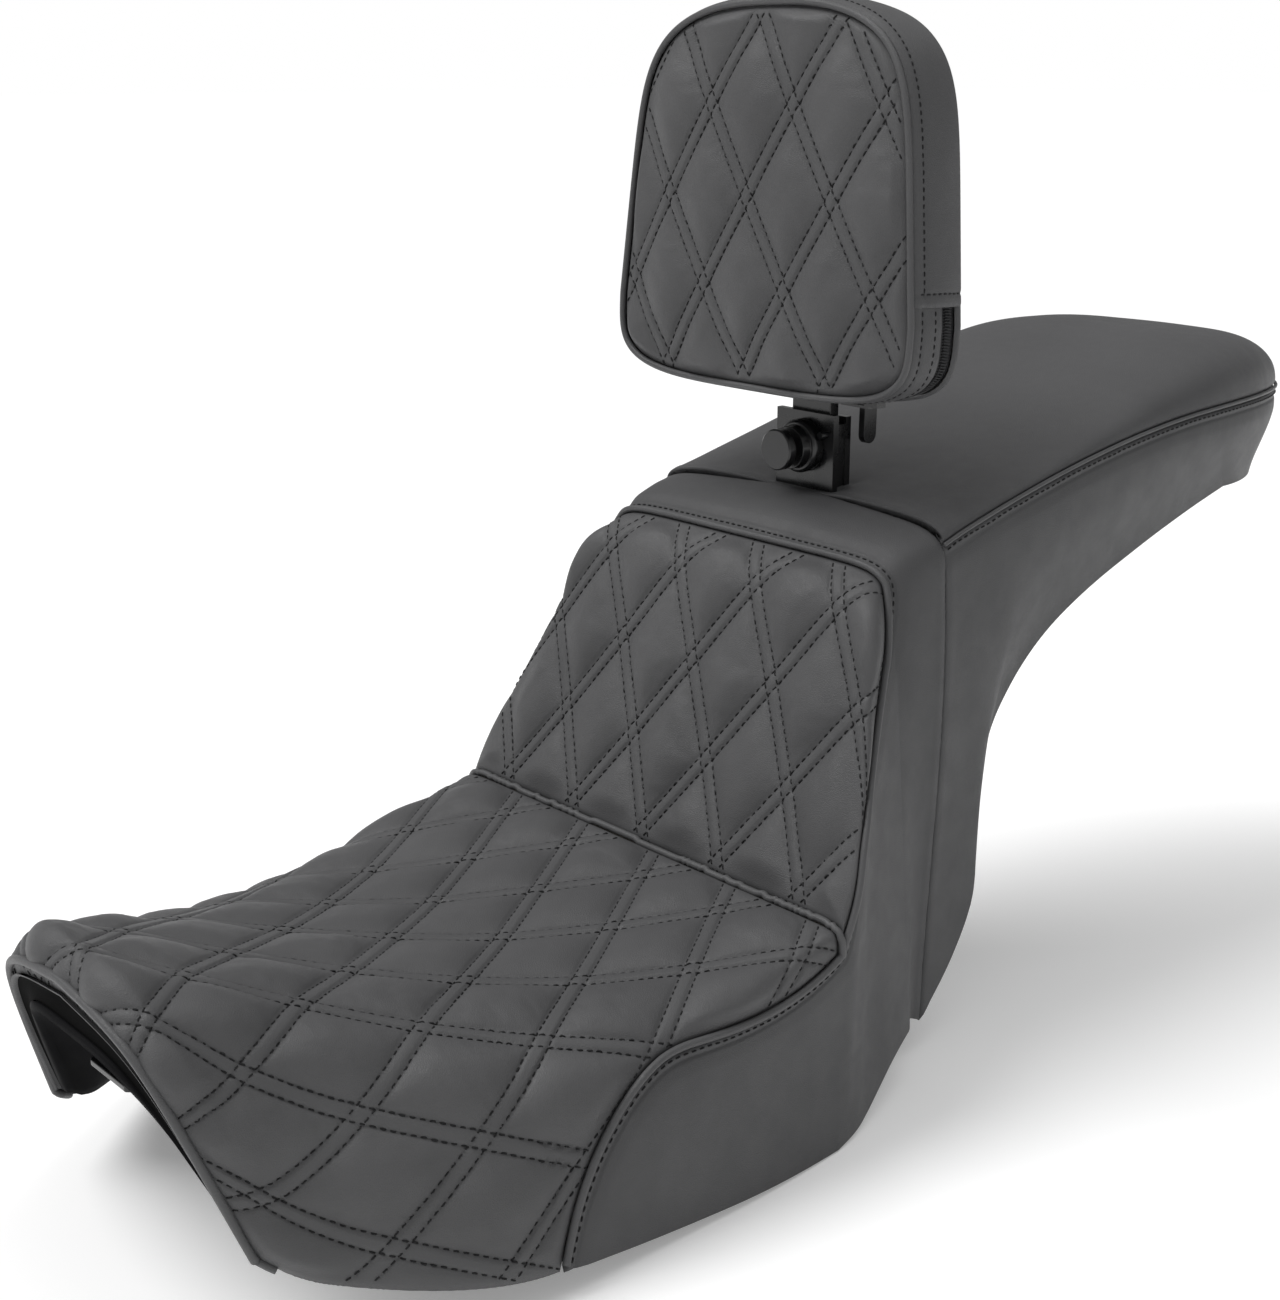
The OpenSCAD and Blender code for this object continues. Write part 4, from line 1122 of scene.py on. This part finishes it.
# ---------- backrest pad ----------
def outline_angles(a0, a1):
    """Angles from a0 to a1, packed closely round the flat sides so that no corner is cut."""
    whole = np.concatenate([[0], np.geomspace(1e-7, 45, 400)])
    quarters = [np.concatenate([k * 90 + whole, (k + 1) * 90 - whole[::-1]]) for k in range(-2, 8)]
    a = np.unique(np.concatenate(quarters))
    return np.concatenate([[a0], a[(a > a0) & (a < a1)], [a1]])


def ring_points(inset, y, n=360):
    """n points round the whole outline, at even distances."""
    a = outline_angles(0, 360)
    x, z = pad_outline(a, inset)
    run = run_along(vec(x, 0 * a, z))
    at = np.linspace(0, run[-1], n)
    return vec(np.interp(at, run, x), y, np.interp(at, run, z))


def outward(line):
    """Direction away from the pad at each point of a line that runs round its side."""
    ahead = unit(np.gradient(line, axis=0))
    return np.stack([ahead[:, 2], 0 * ahead[:, 0], -ahead[:, 0]], -1)


def pad_band(inset, y_values, bulge, a0, a1):
    """Grid round part of the pad's side, rows along the outline and columns from face to back."""
    a = outline_angles(a0, a1)
    x, z = pad_outline(a, inset)
    line = even(vec(x, 0 * a, z), GRID_STEP)
    k = (y_values - y_values[0]) / (y_values[-1] - y_values[0])
    h = bulge * 4 * k * (1 - k)
    p = line[:, None] + outward(line)[:, None] * h[None, :, None]
    p[..., 1] = y_values[None]
    return p


FINE_STITCH = {"pitch": 4.1, "length": 2.9}


def angle_at(z):
    """Angle of the outline where it crosses height z on the +X side, above or below the widest line."""
    a = outline_angles(-89, 89)
    return float(np.interp(z, pad_outline(a)[1], a))


def zip_angles():
    """Start and end of the lower band, just under the flaps."""
    under = angle_at(FLAP_Z + 3)
    return 180 - under, 360 + under


def build_pad_face():
    inset = 3.2
    low, high = PAD_MID - PAD_DOWN + inset, PAD_MID + PAD_UP - inset
    ends = np.array([0.02, 0.1, 0.3, 0.7, 1.2, 1.9])
    heights = np.concatenate([low + ends, spread(low + 2.8, high - 2.8, high - low - 5.6), high - ends[::-1]])
    a = outline_angles(-90, 90)
    ox, oz = pad_outline(a, inset)
    w = np.interp(heights, oz, ox)
    q = np.linspace(-1, 1, 2 * int(PAD_HALF_W / GRID_STEP) + 1)
    x = w[:, None] * q[None]
    z = np.repeat(heights[:, None], len(q), 1)
    rim = ring_points(inset, 0.0, 720)
    flat = vec(x, 0 * x, z)
    edge = lines_distance(flat, [rim])
    across = (x - PAD_LATTICE_AT[0]) / PAD_DIAMOND_W
    down = (z - PAD_LATTICE_AT[1]) / PAD_ROW
    dome = 4.5 * (1 - (np.abs(x) / 112) ** 3) * (1 - (np.abs(z - PAD_CENTRE_Z) / 104) ** 3)
    face = on_pad(vec(x, 0.9 - clamp(dome, 0, 9) * smooth(edge / 30), z))
    quilted_cover("pad_face", "pad", face, across, down, (PAD_DIAMOND_W, 2 * PAD_ROW), edge)
    cord = tube("pad_piping_cord", on_pad(ring_points(1.6, 1.5)), PIPING_R - 0.1, CORD, loop=True)
    ride(cord, "pad", "smooth_leather", "pad_piping")


def build_upper_band():
    """The side above the zip, ending in a folded flap on both sides."""
    a_flap = angle_at(FLAP_Z)
    cols = np.linspace(*SIDE_Y, int(36 / GRID_STEP))
    upper = pad_band(0.2, cols, 2.2, a_flap, 180 - a_flap)
    n = grid_normals(upper)
    hem, flap_hem = 6.0, 6.5
    edge = lines_distance(upper, [upper[:, 0], upper[:, -1]])
    h = -edge_roll(edge, 1.6, 3.0) - 0.6 * bell(upper[..., 1] - SIDE_Y[0], hem, 1.0)
    h += soft_wrinkles(upper, 0.3, 21) * smooth(edge / 14)
    lip = lines_distance(upper, [upper[0], upper[-1]])
    h += 1.3 - 0.5 * bell(lip, flap_hem, 1.0) - edge_roll(lip, 1.3, 1.5)
    upper = on_pad(upper + n * h[..., None])
    ride(sheet("pad_upper_cover", upper, PLAIN), "pad", "smooth_leather", "pad_upper_band")
    tree = tree_of(upper)
    k = int(round(hem / (cols[1] - cols[0])))
    m = int(round(flap_hem / GRID_STEP))
    rows = [upper[m:-m, k], upper[m, 2:-2], upper[-m - 1, 2:-2]]
    sew("pad_upper_stitching", rows, tree, "pad", **FINE_STITCH)


def build_lower_band():
    """An inner strip with stitch rows and an outer strip, on both sides of the zip."""
    a0, a1 = zip_angles()
    inner = pad_band(0.3, np.linspace(SIDE_Y[0], ZIP_Y - ZIP_GAP, int(23 / GRID_STEP)), 1.2, a0, a1)
    outer = pad_band(-0.6, np.linspace(ZIP_Y + ZIP_GAP, SIDE_Y[1], int(8 / GRID_STEP)), 0.5, a0, a1)
    strips = []
    for g in (inner, outer):
        n = grid_normals(g)
        e = lines_distance(g, [g[:, 0], g[:, -1]])
        h = -edge_roll(e, 1.2, 2.2)
        for y in LOWER_ROWS:
            h -= 0.55 * bell(g[..., 1], y, 0.9)
        strips.append(on_pad(g + n * h[..., None]))
    cover = make_mesh("pad_lower_cover", *joined(strips), PLAIN)
    ride(cover, "pad", "smooth_leather", "pad_lower_band")
    tree = tree_of(*strips)
    rows = [strips[0][:, int(np.argmin(np.abs(inner[0, :, 1] - y)))] for y in LOWER_ROWS]
    sew("pad_lower_stitching", rows, tree, "pad", **FINE_STITCH)


def build_zip():
    a0, a1 = zip_angles()
    inset = 1.7
    tape = on_pad(pad_band(inset, np.linspace(ZIP_Y - 5.2, ZIP_Y + 5.2, 12), 0.0, a0, a1))
    ride(sheet("zip_tape", tape, NYLON), "pad", "zip_nylon", "pad_zipper")
    step_mm, tooth = 0.12, 1.5
    a = outline_angles(a0, a1)
    x, z = pad_outline(a, inset)
    spine = even(vec(x, 0 * a + ZIP_Y, z), step_mm)
    turn = np.arange(len(spine)) * step_mm / tooth * 2 * math.pi
    coil = spine + outward(spine) * (0.5 + 0.75 * np.sin(turn))[:, None]
    coil += np.array([0, 2.4, 0]) * np.cos(turn)[:, None]
    ride(tube("zip_coil", on_pad(coil), 0.42, NYLON, sides=5, gap=0.5), "pad", "zip_nylon")


def build_pad_back():
    rows = np.linspace(0, 1, 40)[:, None]
    back_y = PAD_DEPTH - 1.4
    rim = ring_points(1.0, back_y, 240)
    centre = np.array([0.0, back_y, PAD_CENTRE_Z])
    back = centre + (rim[None] - centre) * rows[..., None]
    back[..., 1] += 1.4 * (1 - rows**12)
    cover = sheet("pad_back_cover", on_pad(back)[:, ::-1], PLAIN, weld=0.02)
    ride(cover, "pad", "smooth_leather", "pad_back")


def build_pad_foam():
    near, far = [
        (np.array([[0.0, y, PAD_CENTRE_Z]]).repeat(240, 0), ring_points(4.0, y, 240)) for y in (3.2, 30.6)
    ]
    foam = np.stack([*near, *far[::-1]])
    ride(sheet("pad_foam_block", on_pad(foam), FOAM, weld=0.02), "pad", "foam", "pad_foam")


build_pad_face()
build_upper_band()
build_lower_band()
build_zip()
build_pad_back()
build_pad_foam()


# ---------- metal: CAD pieces keep their shape and get a finish and small edge rounds ----------
FINISHES = (
    (STEEL, "front_tongue rear_tab receiver plunger_barrel plunger_knob stop_pin post pad_bracket tilt_lever"),
    (STEEL, "tilt_bolt tilt_nut zipper_slider"),
    (ZINC, "tongue_rivets tab_rivets receiver_bolts receiver_nuts plunger_spring plunger_pin tilt_washers"),
    (ZINC, "pad_tnuts pad_screws"),
    (PLY, "pad_board"),
    (RUBBER, "rubber_bumpers"),
)
EDGE_ROUND = {
    "receiver": 0.7, "post": 0.5, "plunger_knob": 0.6, "plunger_barrel": 0.5, "tilt_lever": 0.8,
    "front_tongue": 0.8, "rear_tab": 0.7, "pad_bracket": 0.6, "stop_pin": 0.5,
}  # fmt: skip


def dress_cad():
    for name, material in [(name, material) for material, names in FINISHES for name in names.split()]:
        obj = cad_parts[name]
        obj.data.materials.clear()
        obj.data.materials.append(material)
        if name in EDGE_ROUND:
            weld = obj.modifiers.new("weld", "WELD")
            weld.merge_threshold = 0.00002
            bevel = obj.modifiers.new("edge_round", "BEVEL")
            bevel.width = EDGE_ROUND[name] * 0.001
            bevel.segments = 3
            bevel.limit_method = "ANGLE"
            bevel.angle_limit = math.radians(40)


dress_cad()


# ---------- stage ----------
def build_stage():
    floor_z = cad_bounds[0][2] - 0.001
    bpy.ops.mesh.primitive_plane_add(size=60, location=(0, 0, floor_z))
    floor = bpy.context.object
    floor.name = "floor"
    m = Nodes("floor_pale")
    m.colour(m.noise(3.0), (0.90, 0.90, 0.90), (0.93, 0.93, 0.93))
    m.set(Roughness=0.9, Emission_Color=(1, 1, 1, 1), Emission_Strength=0.22)
    floor.data.materials.append(m.material)
    world = bpy.data.worlds.new("studio")
    world.use_nodes = True
    tree = world.node_tree
    seen, lit = tree.nodes["Background"], tree.nodes.new("ShaderNodeBackground")
    seen.inputs["Color"].default_value = lit.inputs["Color"].default_value = (1, 1, 1, 1)
    seen.inputs["Strength"].default_value = 1.0
    lit.inputs["Strength"].default_value = 0.3
    rays, mix = tree.nodes.new("ShaderNodeLightPath"), tree.nodes.new("ShaderNodeMixShader")
    tree.links.new(rays.outputs["Is Camera Ray"], mix.inputs["Fac"])
    tree.links.new(lit.outputs["Background"], mix.inputs[1])
    tree.links.new(seen.outputs["Background"], mix.inputs[2])
    tree.links.new(mix.outputs["Shader"], tree.nodes["World Output"].inputs["Surface"])
    bpy.context.scene.world = world
    bpy.context.scene.view_settings.view_transform = "Standard"


def build_lights():
    """A wide sun from the front left and above, with two weak softboxes aimed at the seat."""
    middle = Vector((np.array(cad_bounds[0]) + np.array(cad_bounds[1])) / 2)

    def softbox(name, at, size, power):
        light = bpy.data.lights.new(name, "AREA")
        light.shape = "RECTANGLE"
        light.size, light.size_y = size
        light.energy = power
        obj = add_object(name, light)
        obj.location = middle + Vector(at)
        obj.rotation_euler = (-Vector(at)).to_track_quat("-Z", "Y").to_euler()

    sun = bpy.data.lights.new("key", "SUN")
    sun.energy = 2.3
    sun.angle = math.radians(38)
    key = add_object("key", sun)
    key.rotation_euler = Vector((0.55, 0.62, -1.25)).to_track_quat("-Z", "Y").to_euler()
    softbox("overhead", (0.2, 0.5, 2.0), (1.6, 1.6), 12)
    softbox("near_side", (1.9, -0.9, 0.5), (1.2, 1.2), 3)


CAMERA_AT = (753.94, -667.40, 404.83)
CAMERA_AZIMUTH = 48.685
CAMERA_ELEVATION = 16.791


def build_camera():
    """Camera at the photograph's angle."""
    azimuth, elevation = math.radians(CAMERA_AZIMUTH), math.radians(CAMERA_ELEVATION)
    at = (np.array(CAMERA_AT) + ORIGIN) * 0.001
    flat = math.cos(elevation)
    back = Vector((math.sin(azimuth) * flat, -math.cos(azimuth) * flat, math.sin(elevation)))
    data = bpy.data.cameras.new("photo_view")
    data.sensor_fit = "VERTICAL"
    data.sensor_height = 36.0
    data.lens = 54.11
    camera = add_object("photo_view", data)
    camera.location = at
    camera.rotation_euler = back.to_track_quat("Z", "Y").to_euler()
    bpy.context.scene.camera = camera


build_stage()
build_lights()
build_camera()
